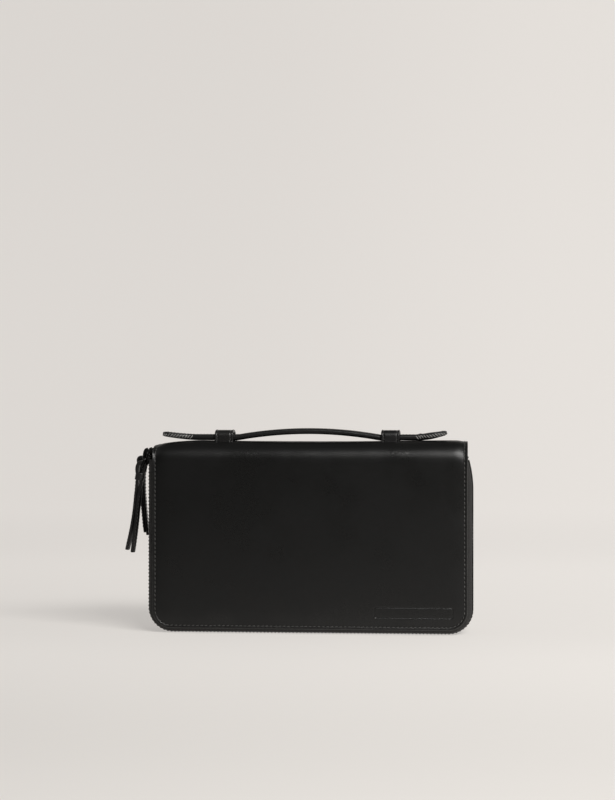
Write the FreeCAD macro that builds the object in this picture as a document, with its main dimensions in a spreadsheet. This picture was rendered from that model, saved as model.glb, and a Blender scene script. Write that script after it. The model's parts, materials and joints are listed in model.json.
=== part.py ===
# Travel document organizer: a double zip-around leather wallet with a grab handle on its spine.
# Millimetres. +X runs along the spine, +Y from the front cover to the back cover, +Z up.
# The wallet stands on its two closed zips. The origin is on the table, in the middle of its length and depth.
import FreeCAD, Part
import Sketcher
import math
import os

V = FreeCAD.Vector
UP = V(0, 0, 1)
SWING_AXIS = V(0, 1, 0)

SIZES = [
    # the whole wallet
    ("cover_width", 216.0),
    ("cover_low", 3.3),
    ("cover_depth", 40.0),
    ("corner_radius", 13.0),
    ("fold_height", 120.5),
    ("shoulder_radius", 12.0),
    ("body_gap", 0.3),
    # the layers of a cover, from outside to inside
    ("leather", 1.4),
    ("stiffener", 1.2),
    ("lining", 0.8),
    ("lining_inset", 1.5),
    ("stiffener_inset", 7.5),
    ("stiffener_top", 110.0),
    ("inner_radius", 6.0),
    # the middle leaf
    ("leaf_top", 129.0),
    ("leaf_panel", 0.8),
    # zip chains
    ("chain_side", 3.5),
    ("chain_low", 1.2),
    ("chain_radius", 16.0),
    ("chain_depth", 9.0),
    ("bend_start", 98.0),
    ("bend_radius", 80.0),
    ("cover_tape_top", 119.5),
    ("leaf_tape_top", 127.0),
    ("tape", 0.6),
    ("tape_bead", 2.2),
    ("tape_flange", 0.8),
    ("tape_flange_inner", 9.0),
    ("tape_ridge", 1.2),
    ("tape_round", 0.1),
    ("tape_slack", 0.3),
    ("tape_turn", 0.65),
    ("cover_tape_edge", 6.3),
    ("cover_tape_inset", 1.5),
    ("leaf_tape_edge", 6.1),
    ("leaf_tape_hem", 0.4),
    ("tooth_pitch", 2.5),
    ("tooth_width", 1.0),
    ("tooth_half_thick", 1.2),
    ("tooth_head", 0.7),
    ("tooth_leg", 3.2),
    ("tooth_bevel", 0.5),
    ("tooth_nose", 0.9),
    ("tooth_start", 0.6),
    ("cover_teeth_below", 1.0),
    ("leaf_teeth_top", 122.4),
    ("stop_length", 2.4),
    ("stop_gap", 0.8),
    ("stop_reach", 2.0),
    # zip sliders, stated about the middle of the chain
    ("slider_height", 121.5),
    ("slider_half_length", 5.5),
    ("slider_half_width", 4.8),
    ("slider_gap", 1.45),
    ("slider_plate", 1.0),
    ("slider_taper", 0.5),
    ("slider_waist", 1.5),
    ("slider_shoulder", 2.0),
    ("slider_mouth", 2.6),
    ("slider_lip", 0.8),
    ("slider_clearance", 0.2),
    ("neck_half", 1.2),
    ("neck_top_half", 0.8),
    ("neck_step", 3.4),
    ("neck_low", 2.2),
    ("bail_foot", 0.3),
    ("bail_rise", 2.9),
    ("bail_thick", 1.2),
    ("bail_wide", 2.4),
    ("bail_radius", 6.66),
    # pulls
    ("link_wire", 0.5),
    ("link_half_width", 4.0),
    ("link_length", 7.0),
    ("link_stand", 0.8),
    ("link_drop", 0.8),
    ("front_link_lean", 9.0),
    ("front_strap_lean", 9.2),
    ("back_link_lean", 72.0),
    ("back_strap_lean", -3.0),
    ("strap_wide", 6.0),
    ("strap_half_thick", 1.8),
    ("strap_loop", 2.45),
    ("strap_hole", 0.65),
    ("strap_split", 38.0),
    ("strap_long", 57.0),
    ("strap_neck", 3.5),
    ("strap_split_lead", 2.0),
    ("left_tail_spread", 1.3),
    ("right_tail_in", 1.5),
    ("right_tail_spread", 1.6),
    ("tail_cut", 0.6),
    ("right_tail_extra", 1.0),
    ("binding_top", 4.0),
    ("binding_tall", 5.0),
    ("binding_thick", 0.8),
    ("binding_gap", 0.1),
    # handle
    ("keeper_left", -59.5),
    ("keeper_right", 57.5),
    ("keeper_long", 13.0),
    ("keeper_half_wide", 8.0),
    ("keeper_side", 1.6),
    ("keeper_height", 7.4),
    ("keeper_roof", 2.0),
    ("handle_wide", 12.0),
    ("handle_thick", 4.3),
    ("handle_middle", -1.5),
    ("arch_top", 141.4),
    ("arch_radius", 284.0),
    ("arch_left", -52.3),
    ("arch_right", 50.3),
    ("arch_slant", 1.85),
    ("tail_low", 132.8),
    ("tail_straight", 80.0),
    ("tail_tip_low", 136.9),
    ("tail_tip_top", 139.7),
    ("tail_tip_left", 104.5),
    ("tail_tip_right", 94.5),
    ("tail_straight_right", 73.0),
    ("tip_cut", 1.0),
    ("tail_bend_lead", 2.0),
    ("paddle_wide", 16.0),
    ("paddle_long", 16.0),
    # pockets
    ("pocket_low", 14.0),
    ("pocket_side", 98.0),
    ("pocket_middle", 4.0),
    ("pocket_sheet", 0.6),
    ("pocket_step", 0.7),
    ("pocket_radius", 3.0),
    ("card_slot_top", 96.0),
    ("card_slot_step", 11.0),
    ("note_pocket_top", 100.0),
    ("passport_pocket_top", 102.0),
    ("boarding_pocket_top", 62.0),
    # zipped coin pocket on the back of the middle leaf
    ("coin_half_width", 70.0),
    ("coin_top", 112.0),
    ("coin_low", 30.0),
    ("coin_zip_height", 100.0),
    ("coin_zip_half_long", 55.0),
    ("coin_zip_half_tall", 3.0),
    ("coin_tape_inner", 1.5),
    ("coin_slit_end", 2.0),
    ("coin_gap", 0.05),
    ("coin_teeth_end", 3.0),
    ("coin_tooth_head", 0.45),
    ("coin_tooth_pitch", 1.6),
    ("coin_tooth_width", 0.6),
    ("coin_tooth_thick", 1.1),
    ("coin_slider_start", -48.0),
    ("coin_slider_half_long", 4.0),
    ("coin_slider_half_tall", 2.6),
    ("coin_slider_front", 2.9),
    ("coin_slider_plate", 0.7),
    ("coin_slider_nose", 1.0),
    ("coin_flange_wide", 0.7),
    ("coin_flange_deep", 0.6),
    ("coin_lug", 1.6),
    ("coin_lug_rim", 0.4),
    ("coin_lug_half_long", 1.0),
    ("coin_lug_half_tall", 1.3),
    ("coin_lug_hole", 0.7),
    ("coin_pivot", 4.5),
    ("coin_pull_long", 10.0),
    ("coin_tab_half_wide", 2.4),
    ("coin_tab_half_narrow", 1.6),
    ("coin_tab_straight", 4.0),
    ("coin_tab_head", 0.4),
    ("coin_tab_thick", 0.8),
    ("coin_tab_hole_half", 1.3),
    ("coin_tab_hole_low", 3.2),
]

CARD_SLOTS = 4
FRONT = "-"
BACK = ""

doc = FreeCAD.newDocument("TravelOrganizer")
sheet = doc.addObject("Spreadsheet::Sheet", "Sizes")
for row, (alias, value) in enumerate(SIZES, 1):
    sheet.set(f"A{row}", alias)
    sheet.set(f"B{row}", str(value))
    sheet.setAlias(f"B{row}", alias)
doc.recompute()

sub_parts = []


def size(alias):
    """The number in the sheet's cell of that name."""
    return float(sheet.get(alias))


# Half the chain's width across the wallet, and half the covers' depth, as expressions.
CHAIN_HALF = "(Sizes.cover_width / 2 + Sizes.chain_side)"
COVER_HALF = "(Sizes.cover_width / 2)"
FACE = "(Sizes.cover_depth / 2)"
INNER_FACE = "(Sizes.cover_depth / 2 - Sizes.leather - Sizes.stiffener - Sizes.lining)"
LEAF_FACE = "(Sizes.stiffener / 2 + Sizes.leaf_panel)"
SPINE_TOP = "(Sizes.fold_height + Sizes.shoulder_radius)"


def new_body(name):
    """A PartDesign body that is one sub-part, named as its file is."""
    body = doc.addObject("PartDesign::Body", name)
    body.Label = name
    sub_parts.append(body)
    return body


def attach(body, name, role, lift):
    """An empty sketch on the body's own origin plane, lifted along the plane's normal."""
    sketch = body.newObject("Sketcher::SketchObject", name)
    plane = next(item for item in body.Origin.OriginFeatures if item.Role == role)
    sketch.AttachmentSupport = [(plane, "")]
    sketch.MapMode = "FlatFace"
    sketch.setExpression("AttachmentOffset.Base.z", lift)
    return sketch


def bind(sketch, kind, places, start, name, expression):
    """Adds a dimension and binds it to the sheet; start is where the solver begins."""
    index = sketch.addConstraint(Sketcher.Constraint(kind, *places, start))
    sketch.renameConstraint(index, name)
    sketch.setExpression(f"Constraints.{name}", expression)


def place_point(sketch, geometry, point, start, name, across, up):
    """Binds both coordinates of one point of a piece of geometry."""
    bind(sketch, "DistanceX", (-1, 1, geometry, point), start.x, f"{name}_across", across)
    bind(sketch, "DistanceY", (-1, 1, geometry, point), start.y, f"{name}_up", up)


def polygon(body, name, role, corners, lift="0"):
    """A closed outline of straight lines; a corner is a pair of expressions in the plane's own axes."""
    sketch = attach(body, name, role, lift)
    count = len(corners)
    turns = [2 * math.pi * (i + 0.5) / count for i in range(count)]
    start = [V(20 * math.cos(turn), 20 * math.sin(turn), 0) for turn in turns]
    for i in range(count):
        sketch.addGeometry(Part.LineSegment(start[i], start[(i + 1) % count]), False)
    for i in range(count):
        sketch.addConstraint(Sketcher.Constraint("Coincident", i, 2, (i + 1) % count, 1))
    for i, (across, up) in enumerate(corners):
        place_point(sketch, i, 1, start[i], f"corner{i}", across, up)
    return sketch


def rectangle(body, name, role, left, right, low, top, lift="0"):
    return polygon(body, name, role, [(left, low), (right, low), (right, top), (left, top)], lift)


def disc(body, name, role, radius, lift="0"):
    """A circle about the body's own origin."""
    sketch = attach(body, name, role, lift)
    sketch.addGeometry(Part.Circle(V(), UP, 2.0), False)
    sketch.addConstraint(Sketcher.Constraint("Coincident", 0, 3, -1, 1))
    bind(sketch, "Radius", (0,), 2.0, "radius", radius)
    return sketch


def pad(body, sketch, name, length, midplane=False):
    feature = body.newObject("PartDesign::Pad", name)
    feature.Profile = sketch
    feature.setExpression("Length", length)
    feature.Midplane = midplane
    return feature


def pocket(body, sketch, name):
    """Cuts the sketch through the whole body, both ways."""
    doc.recompute()
    before = body.Shape.Volume
    feature = body.newObject("PartDesign::Pocket", name)
    feature.Profile = sketch
    feature.Type = "ThroughAll"
    feature.Midplane = True
    doc.recompute()
    if feature.Shape.isNull() or body.Shape.Volume >= before - 1e-6:
        raise RuntimeError(f"{body.Label}: {name} cuts nothing")
    return feature


def round_edges(body, feature, name, radius, wanted):
    """Fillets the edges of the feature that the test picks."""
    doc.recompute()
    edges = [f"Edge{i}" for i, edge in enumerate(feature.Shape.Edges, 1) if wanted(edge.BoundBox)]
    fillet = body.newObject("PartDesign::Fillet", name)
    fillet.Base = (feature, edges)
    fillet.setExpression("Radius", radius)
    return fillet


def sheet_panel(name, left, right, low, top, outer, thick, radius):
    """A flat leaf with rounded lower corners; outer is the y of its face nearer the back cover."""
    body = new_body(name)
    outline = rectangle(body, f"{name}_outline", "XZ_Plane", left, right, low, top, f"-({outer})")
    plate = pad(body, outline, f"{name}_plate", thick)
    doc.recompute()
    floor = plate.Shape.BoundBox.ZMin + 0.01
    round_edges(
        body, plate, f"{name}_corners", radius,
        lambda box: box.ZMax < floor and box.XLength < 0.01,
    )
    return body


def cover_panels(prefix, side):
    """Leather, stiffener and lining of one cover; side is the sign of its y."""
    top = "Sizes.fold_height - Sizes.body_gap"
    layers = [
        ("leather", "0", "0", top, "Sizes.leather", "Sizes.corner_radius"),
        ("stiffener", "Sizes.leather", "Sizes.stiffener_inset", "Sizes.stiffener_top",
         "Sizes.stiffener", "Sizes.inner_radius"),
        ("lining", "Sizes.leather + Sizes.stiffener", "Sizes.lining_inset", top,
         "Sizes.lining", "Sizes.corner_radius - Sizes.lining_inset"),
    ]
    for layer, depth, inset, layer_top, thick, radius in layers:
        outside = f"{FACE} - ({depth})"
        outer = outside if side == BACK else f"-({outside} - {thick})"
        sheet_panel(
            f"{prefix}_cover_{layer}", f"-({COVER_HALF} - {inset})", f"{COVER_HALF} - {inset}",
            f"Sizes.cover_low + {inset}", layer_top, outer, thick, radius,
        )


def leaf_panels():
    """The middle leaf: a stiffener between two panels."""
    spans = [
        ("divider_stiffener", "Sizes.lining_inset", "Sizes.stiffener / 2", "Sizes.stiffener"),
        ("divider_front_panel", "0", "-Sizes.stiffener / 2", "Sizes.leaf_panel"),
        ("divider_back_panel", "0", LEAF_FACE, "Sizes.leaf_panel"),
    ]
    for name, inset, outer, thick in spans:
        sheet_panel(
            name, f"-({COVER_HALF} - {inset})", f"{COVER_HALF} - {inset}",
            f"Sizes.cover_low + {inset}", "Sizes.leaf_top", outer, thick,
            f"Sizes.corner_radius - {inset}",
        )


def arch_section(body, name, outer, inner):
    """The spine's section: a flat top between two quarter-round shoulders, down to the fold lines."""
    sketch = attach(body, name, "YZ_Plane", f"-{COVER_HALF}")
    middle = size("cover_depth") / 2 - size("shoulder_radius")
    fold = size("fold_height")
    big = size("shoulder_radius")
    small = big - size("leather")
    front, back = V(-middle, fold, 0), V(middle, fold, 0)
    quarter = math.pi / 2

    def arc(centre, radius, first):
        return Part.ArcOfCircle(Part.Circle(centre, UP, radius), first, first + quarter)

    geometry = [
        arc(front, big, quarter),
        Part.LineSegment(front + V(0, big, 0), back + V(0, big, 0)),
        arc(back, big, 0),
        Part.LineSegment(back + V(big, 0, 0), back + V(small, 0, 0)),
        arc(back, small, 0),
        Part.LineSegment(back + V(0, small, 0), front + V(0, small, 0)),
        arc(front, small, quarter),
        Part.LineSegment(front - V(small, 0, 0), front - V(big, 0, 0)),
    ]
    sketch.addGeometry(geometry, False)
    joints = [(0, 1, 1, 1), (1, 2, 2, 2), (2, 1, 3, 1), (3, 2, 4, 1),
              (4, 2, 5, 1), (5, 2, 6, 1), (6, 2, 7, 1), (7, 2, 0, 2), (4, 3, 2, 3), (6, 3, 0, 3)]
    for ends in joints:
        sketch.addConstraint(Sketcher.Constraint("Coincident", *ends))
    for index, upright, level in [(0, 1, 2), (2, 2, 1), (4, 2, 1), (6, 1, 2)]:
        sketch.addConstraint(Sketcher.Constraint("Vertical", index, upright, index, 3))
        sketch.addConstraint(Sketcher.Constraint("Horizontal", index, level, index, 3))
    offset = f"({FACE} - Sizes.shoulder_radius)"
    place_point(sketch, 0, 3, front, "front_centre", f"-{offset}", "Sizes.fold_height")
    place_point(sketch, 2, 3, back, "back_centre", offset, "Sizes.fold_height")
    for index, radius, start in [(0, outer, big), (2, outer, big), (4, inner, small), (6, inner, small)]:
        bind(sketch, "Radius", (index,), start, f"radius{index}", radius)
    return sketch


def spine_parts():
    """The rounded spine: leather outside, a stiffener strip and the lining inside it."""
    leather = new_body("spine_leather")
    section = arch_section(
        leather, "spine_section", "Sizes.shoulder_radius", "Sizes.shoulder_radius - Sizes.leather"
    )
    pad(leather, section, "spine_length", "Sizes.cover_width")

    stiffener = new_body("spine_stiffener")
    top = f"{SPINE_TOP} - Sizes.leather"
    half = f"{FACE} - Sizes.shoulder_radius"
    strip = rectangle(
        stiffener, "strip_section", "YZ_Plane", f"-({half})", half,
        f"{top} - Sizes.stiffener", top,
    )
    pad(stiffener, strip, "strip_length", "Sizes.cover_width - 2 * Sizes.stiffener_inset", True)

    lining = new_body("spine_lining")
    outer = "Sizes.shoulder_radius - Sizes.leather - Sizes.stiffener"
    section = arch_section(lining, "lining_section", outer, f"{outer} - Sizes.lining")
    pad(lining, section, "lining_length", "Sizes.cover_width")


def keeper(name, middle):
    """A leather loop on the spine that holds the handle strap down."""
    body = new_body(name)
    top = f"{SPINE_TOP} + Sizes.keeper_height"
    inside = "Sizes.keeper_half_wide - Sizes.keeper_side"
    roof = f"{top} - Sizes.keeper_roof"
    section = polygon(
        body, f"{name}_section", "YZ_Plane",
        [("-Sizes.keeper_half_wide", SPINE_TOP), (f"-({inside})", SPINE_TOP), (f"-({inside})", roof),
         (inside, roof), (inside, SPINE_TOP), ("Sizes.keeper_half_wide", SPINE_TOP),
         ("Sizes.keeper_half_wide", top), ("-Sizes.keeper_half_wide", top)],
        f"{middle} - Sizes.keeper_long / 2",
    )
    loop = pad(body, section, f"{name}_loop", "Sizes.keeper_long")
    doc.recompute()
    crown = loop.Shape.BoundBox.ZMax - 0.01
    round_edges(
        body, loop, f"{name}_crown", "Sizes.keeper_side",
        lambda box: box.ZMin > crown and box.YLength < 0.01,
    )


def chain_path(body, name, top):
    """The line along the middle of a closed zip: down the left side, round the bottom, up the right
    side, where it bends in towards the spine."""
    sketch = attach(body, name, "XZ_Plane", "0")
    half = size("cover_width") / 2 + size("chain_side")
    low = size("chain_low")
    radius = size("chain_radius")
    start = size("bend_start")
    bend = size("bend_radius")
    end = size(top)
    turn = math.asin((end - start) / bend)
    geometry = [
        Part.LineSegment(V(-half, end, 0), V(-half, low + radius, 0)),
        Part.ArcOfCircle(Part.Circle(V(radius - half, low + radius, 0), UP, radius), math.pi, 1.5 * math.pi),
        Part.LineSegment(V(radius - half, low, 0), V(half - radius, low, 0)),
        Part.ArcOfCircle(Part.Circle(V(half - radius, low + radius, 0), UP, radius), 1.5 * math.pi, 2 * math.pi),
        Part.LineSegment(V(half, low + radius, 0), V(half, start, 0)),
        Part.ArcOfCircle(Part.Circle(V(half - bend, start, 0), UP, bend), 0, turn),
    ]
    sketch.addGeometry(geometry, False)
    for ends in [(0, 2, 1, 1), (1, 2, 2, 1), (2, 2, 3, 1), (3, 2, 4, 1), (4, 2, 5, 1)]:
        sketch.addConstraint(Sketcher.Constraint("Tangent", *ends))
    sketch.addConstraint(Sketcher.Constraint("Vertical", 0))
    sketch.addConstraint(Sketcher.Constraint("Horizontal", 2))
    sketch.addConstraint(Sketcher.Constraint("Vertical", 4))
    sketch.addConstraint(Sketcher.Constraint("Equal", 1, 3))
    place_point(sketch, 0, 1, V(-half, end, 0), "top", f"-{CHAIN_HALF}", f"Sizes.{top}")
    place_point(sketch, 4, 2, V(half, start, 0), "bend", CHAIN_HALF, "Sizes.bend_start")
    bind(sketch, "DistanceY", (-1, 1, 2, 1), low, "low", "Sizes.chain_low")
    bind(sketch, "Radius", (1,), radius, "corner", "Sizes.chain_radius")
    bind(sketch, "Radius", (5,), bend, "bend_radius", "Sizes.bend_radius")
    bind(sketch, "DistanceY", (-1, 1, 5, 2), end, "bend_top", f"Sizes.{top}")
    return sketch


def tape_section(edge, sewn_face, hem):
    """One tape's section as (outwards from the chain, y from the chain) pairs, on the cover's side:
    a flange sewn in by the edge, a ridge outside it, and the flat part that carries the teeth."""
    half = "Sizes.tape / 2"
    slope = "Sizes.slider_half_width"
    inside = f"{sewn_face} - Sizes.tape_flange"
    return [
        ("-Sizes.tape_flange_inner", sewn_face),
        (hem, sewn_face),
        ("Sizes.tape_ridge", f"{edge} + Sizes.tape_round"),
        (half, f"{slope} + Sizes.tape_round"),
        (half, "Sizes.tape_bead"),
        (f"-{half}", "Sizes.tape_bead"),
        (f"-{half}", f"{slope} + Sizes.tape_slack"),
        ("Sizes.tape_ridge - Sizes.tape_turn", edge),
        (f"{hem} - Sizes.tape_slack", inside),
        ("-Sizes.tape_flange_inner", inside),
    ]


def zip_tape(name, side, towards, edge, sewn_face, hem, top):
    """A tape swept round the chain's path; towards is the sign of y from the chain to what it is sewn to."""
    body = new_body(name)
    path = chain_path(body, f"{name}_path", top)
    corners = [
        (f"-({CHAIN_HALF} + ({out}))", f"{side}Sizes.chain_depth {towards} ({across})")
        for out, across in tape_section(edge, sewn_face, hem)
    ]
    section = polygon(body, f"{name}_section", "XY_Plane", corners, f"Sizes.{top}")
    sweep = body.newObject("PartDesign::AdditivePipe", f"{name}_sweep")
    sweep.Profile = section
    sweep.Spine = (path, [])


def chain_places(first, spacing, top_left, top_right):
    """Placements every spacing along the chain's path. Each turns local +X along the path and local +Z
    outwards; first is the distance from the left end."""
    half = size("cover_width") / 2 + size("chain_side")
    low = size("chain_low")
    radius = size("chain_radius")
    bend = size("bend_radius")
    start = size("bend_start")
    side = top_left - low - radius
    quarter = radius * math.pi / 2
    across = 2 * (half - radius)
    rise = start - low - radius
    reach = bend * math.asin((top_right - start) / bend)
    total = side + quarter + across + quarter + rise + reach
    places = []
    along = first
    while along < total:
        step = along
        if step < side:
            point, heading = V(-half, 0, top_left - step), -math.pi / 2
        elif step < side + quarter:
            turn = (step - side) / radius
            point = V(radius - half - radius * math.cos(turn), 0, low + radius - radius * math.sin(turn))
            heading = turn - math.pi / 2
        elif step < side + quarter + across:
            point, heading = V(radius - half + step - side - quarter, 0, low), 0.0
        elif step < side + 2 * quarter + across:
            turn = (step - side - quarter - across) / radius
            point = V(half - radius + radius * math.sin(turn), 0, low + radius - radius * math.cos(turn))
            heading = turn
        elif step < total - reach:
            point = V(half, 0, low + radius + step - side - 2 * quarter - across)
            heading = math.pi / 2
        else:
            turn = (step - total + reach) / bend
            point = V(half - bend + bend * math.cos(turn), 0, start + bend * math.sin(turn))
            heading = math.pi / 2 + turn
        # Local X goes along the path, and local Z outwards, to the right of it.
        spin = FreeCAD.Rotation(SWING_AXIS, -math.degrees(heading))
        flip = FreeCAD.Rotation(V(1, 0, 0), 180)
        places.append(FreeCAD.Placement(point, spin.multiply(flip)))
        along += spacing
    return places


def tooth_shape():
    """One zip tooth: two legs over the tape and a head past the chain's middle, extruded along the chain.
    Local Y runs from the head to the tape."""
    thick = size("tooth_half_thick")
    leg = size("tooth_leg")
    bead = size("tape_bead")
    slot = size("tape") / 2
    head = -size("tooth_head")
    width = size("tooth_width")
    bevel = head + size("tooth_bevel")
    nose = size("tooth_nose")
    section = [
        (head, -nose), (bevel, -thick), (leg, -thick), (leg, -slot), (bead, -slot),
        (bead, slot), (leg, slot), (leg, thick), (bevel, thick), (head, nose),
    ]
    points = [V(-width / 2, y, z) for y, z in section]
    wire = Part.makePolygon(points + points[:1])
    return Part.Face(wire).extrude(V(width, 0, 0))


def teeth_row(name, side, towards, first, top_left, top_right):
    """A row of teeth on one tape, a compound of separate solids."""
    tooth = tooth_shape()
    depth = side * size("chain_depth")
    shapes = []
    for place in chain_places(first, size("tooth_pitch"), top_left, top_right):
        # The chain's frame has local Y at world -Y, so the row on the +Y side is turned half round.
        solid = tooth.copy()
        if towards > 0:
            solid.rotate(V(), V(0, 0, 1), 180)
        solid.Placement = place.multiply(solid.Placement)
        solid.translate(V(0, depth, 0))
        shapes.append(solid)
    row = doc.addObject("Part::Feature", name)
    row.Label = name
    row.Shape = Part.makeCompound(shapes)
    sub_parts.append(row)


def zip_chain(prefix, side):
    """Both tapes and both rows of teeth of one zip."""
    sign = -1 if side == FRONT else 1
    outwards = "-" if side == FRONT else "+"
    inwards = "+" if side == FRONT else "-"
    cover_face = f"{FACE} - Sizes.leather - Sizes.chain_depth"
    zip_tape(
        f"{prefix}_zip_tape_cover", side, outwards, "Sizes.cover_tape_edge", cover_face,
        "-Sizes.chain_side + Sizes.cover_tape_inset", "cover_tape_top",
    )
    zip_tape(
        f"{prefix}_zip_tape_divider", side, inwards, "Sizes.leaf_tape_edge",
        f"Sizes.chain_depth - {LEAF_FACE}", "-Sizes.leaf_tape_hem", "leaf_tape_top",
    )
    pitch = size("tooth_pitch")
    cover_top = size("cover_tape_top") - size("cover_teeth_below")
    first = size("tooth_start")
    leaf_top = size("leaf_teeth_top")
    lead = leaf_top - cover_top
    # The rows are half a pitch apart, so that the heads of one lie between the heads of the other.
    offset = (pitch / 2 - lead) % pitch
    teeth_row(f"{prefix}_zip_teeth_divider", sign, -sign, first, leaf_top, leaf_top)
    teeth_row(f"{prefix}_zip_teeth_cover", sign, sign, first + offset, cover_top, cover_top)


def zip_stops():
    """A metal stop at the closed end of each zip, clamped to the middle leaf's tape."""
    shapes = []
    half = size("cover_width") / 2 + size("chain_side")
    bend = size("bend_radius")
    thick = size("tooth_half_thick")
    slot = size("tape") / 2
    bead = size("tape_bead")
    leg = size("tooth_leg")
    low = size("leaf_teeth_top") + size("stop_gap")
    reach = -size("stop_reach")
    middle = low + size("stop_length") / 2
    turn = math.asin((middle - size("bend_start")) / bend)
    place = V(half - bend + bend * math.cos(turn), 0, middle)
    section = [
        (reach, -thick), (leg, -thick), (leg, -slot), (bead, -slot),
        (bead, slot), (leg, slot), (leg, thick), (reach, thick),
    ]
    for sign in (-1, 1):
        points = [V(x, -sign * y, -size("stop_length") / 2) for y, x in section]
        solid = Part.Face(Part.makePolygon(points + points[:1])).extrude(V(0, 0, size("stop_length")))
        solid.rotate(V(), SWING_AXIS, -math.degrees(turn))
        solid.translate(place + V(0, sign * size("chain_depth"), 0))
        shapes.append(solid)
    stops = doc.addObject("Part::Feature", "zip_stops")
    stops.Label = "zip_stops"
    stops.Shape = Part.makeCompound(shapes)
    sub_parts.append(stops)


def set_place(body, across, depth, height, lean=0.0):
    """Puts a body at expressions of the sheet, leaning outwards about +Y by degrees."""
    body.Placement = FreeCAD.Placement(V(), FreeCAD.Rotation(SWING_AXIS, lean))
    body.setExpression("Placement.Base.x", across)
    body.setExpression("Placement.Base.y", depth)
    body.setExpression("Placement.Base.z", height)


def zip_slider(prefix, side):
    """A slider about the chain's middle: two plates on a neck, side flanges, and a bail outside."""
    name = f"{prefix}_zip_slider"
    body = new_body(name)
    half = "Sizes.slider_half_length"
    wide = "Sizes.slider_half_width"
    foot = f"({wide} - Sizes.slider_taper)"
    waist = "-Sizes.slider_waist"
    shoulder = "Sizes.slider_shoulder"
    outline = [
        (f"-{foot}", f"-{half}"), (foot, f"-{half}"), (wide, waist), (wide, shoulder),
        ("Sizes.slider_mouth", half), ("-Sizes.slider_mouth", half),
        (f"-{wide}", shoulder), (f"-{wide}", waist),
    ]
    reach = "(Sizes.slider_gap + Sizes.slider_plate)"
    pad(body, polygon(body, "outer_outline", "YZ_Plane", outline, f"-{reach}"), "outer_plate",
        "Sizes.slider_plate")
    neck = [
        ("-Sizes.neck_half", "Sizes.neck_step"), ("0", "Sizes.neck_low"),
        ("Sizes.neck_half", "Sizes.neck_step"),
        ("Sizes.neck_top_half", half), ("-Sizes.neck_top_half", half),
    ]
    pad(body, polygon(body, "neck_outline", "YZ_Plane", neck), "neck", "2 * Sizes.slider_gap", True)
    pad(body, polygon(body, "inner_outline", "YZ_Plane", outline, "Sizes.slider_gap"), "inner_plate",
        "Sizes.slider_plate")
    slot = "(Sizes.tape / 2 + Sizes.slider_clearance)"
    for hand, sign in (("front", "-"), ("back", "")):
        flange = [
            (f"{sign}({wide})", shoulder), (f"{sign}({wide})", waist), (f"{sign}{foot}", f"-{half}"),
            (f"{sign}({foot} - Sizes.slider_lip)", f"-{half}"), (f"{sign}({wide} - Sizes.slider_lip)", waist),
            (f"{sign}({wide} - Sizes.slider_lip)", shoulder),
        ]
        for level, lift in (("outer", "-Sizes.slider_gap"), ("inner", slot)):
            sketch = polygon(body, f"{level}_{hand}_lip", "YZ_Plane", flange, lift)
            pad(body, sketch, f"{level}_{hand}_flange", f"Sizes.slider_gap - {slot}")
    pad(body, bail_outline(body, reach), "bail", "Sizes.bail_wide", True)
    set_place(body, f"-{CHAIN_HALF}", f"{side}Sizes.chain_depth", "Sizes.slider_height")


def bail_outline(body, plate_face):
    """The bail's side view: a bow of even thickness from one end of the plate to the other."""
    sketch = attach(body, "bail_outline", "XZ_Plane", "0")
    radius = size("bail_radius")
    inner = radius - size("bail_thick")
    face = -(size("slider_gap") + size("slider_plate"))
    centre = V(face - size("bail_rise") + radius, 0, 0)
    foot = face + size("bail_foot")
    wide = math.acos((foot - centre.x) / radius)
    narrow = math.acos((foot - centre.x) / inner)
    sketch.addGeometry([
        Part.ArcOfCircle(Part.Circle(centre, UP, radius), wide, 2 * math.pi - wide),
        Part.ArcOfCircle(Part.Circle(centre, UP, inner), narrow, 2 * math.pi - narrow),
        Part.LineSegment(V(foot, radius * math.sin(wide), 0), V(foot, inner * math.sin(narrow), 0)),
        Part.LineSegment(V(foot, -radius * math.sin(wide), 0), V(foot, -inner * math.sin(narrow), 0)),
    ], False)
    for ends in [(0, 1, 2, 1), (1, 1, 2, 2), (0, 2, 3, 1), (1, 2, 3, 2), (1, 3, 0, 3)]:
        sketch.addConstraint(Sketcher.Constraint("Coincident", *ends))
    for line in (2, 3):
        sketch.addConstraint(Sketcher.Constraint("Vertical", line))
    place_point(sketch, 0, 3, centre, "centre", f"-{plate_face} - Sizes.bail_rise + Sizes.bail_radius", "0")
    bind(sketch, "Radius", (0,), radius, "outer", "Sizes.bail_radius")
    bind(sketch, "Radius", (1,), inner, "inner", "Sizes.bail_radius - Sizes.bail_thick")
    for line, name in ((2, "upper_foot"), (3, "lower_foot")):
        bind(sketch, "DistanceX", (-1, 1, line, 1), foot, name, f"-{plate_face} + Sizes.bail_foot")
    return sketch


# Where a link's upper wire lies, under its slider's bail.
PIVOT_OUT = f"({CHAIN_HALF} + Sizes.slider_gap + Sizes.slider_plate + Sizes.link_stand)"
PIVOT_HEIGHT = "(Sizes.slider_height - Sizes.link_drop)"


def primitive(kind, name, place, spin, **values):
    """A Part primitive whose sizes and local place are bound to the sheet."""
    item = doc.addObject(kind, name)
    item.Placement = FreeCAD.Placement(V(), spin)
    for key, expression in values.items():
        item.setExpression(key, expression)
    for axis, expression in zip("xyz", place):
        item.setExpression(f"Placement.Base.{axis}", expression)
    return item


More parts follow.
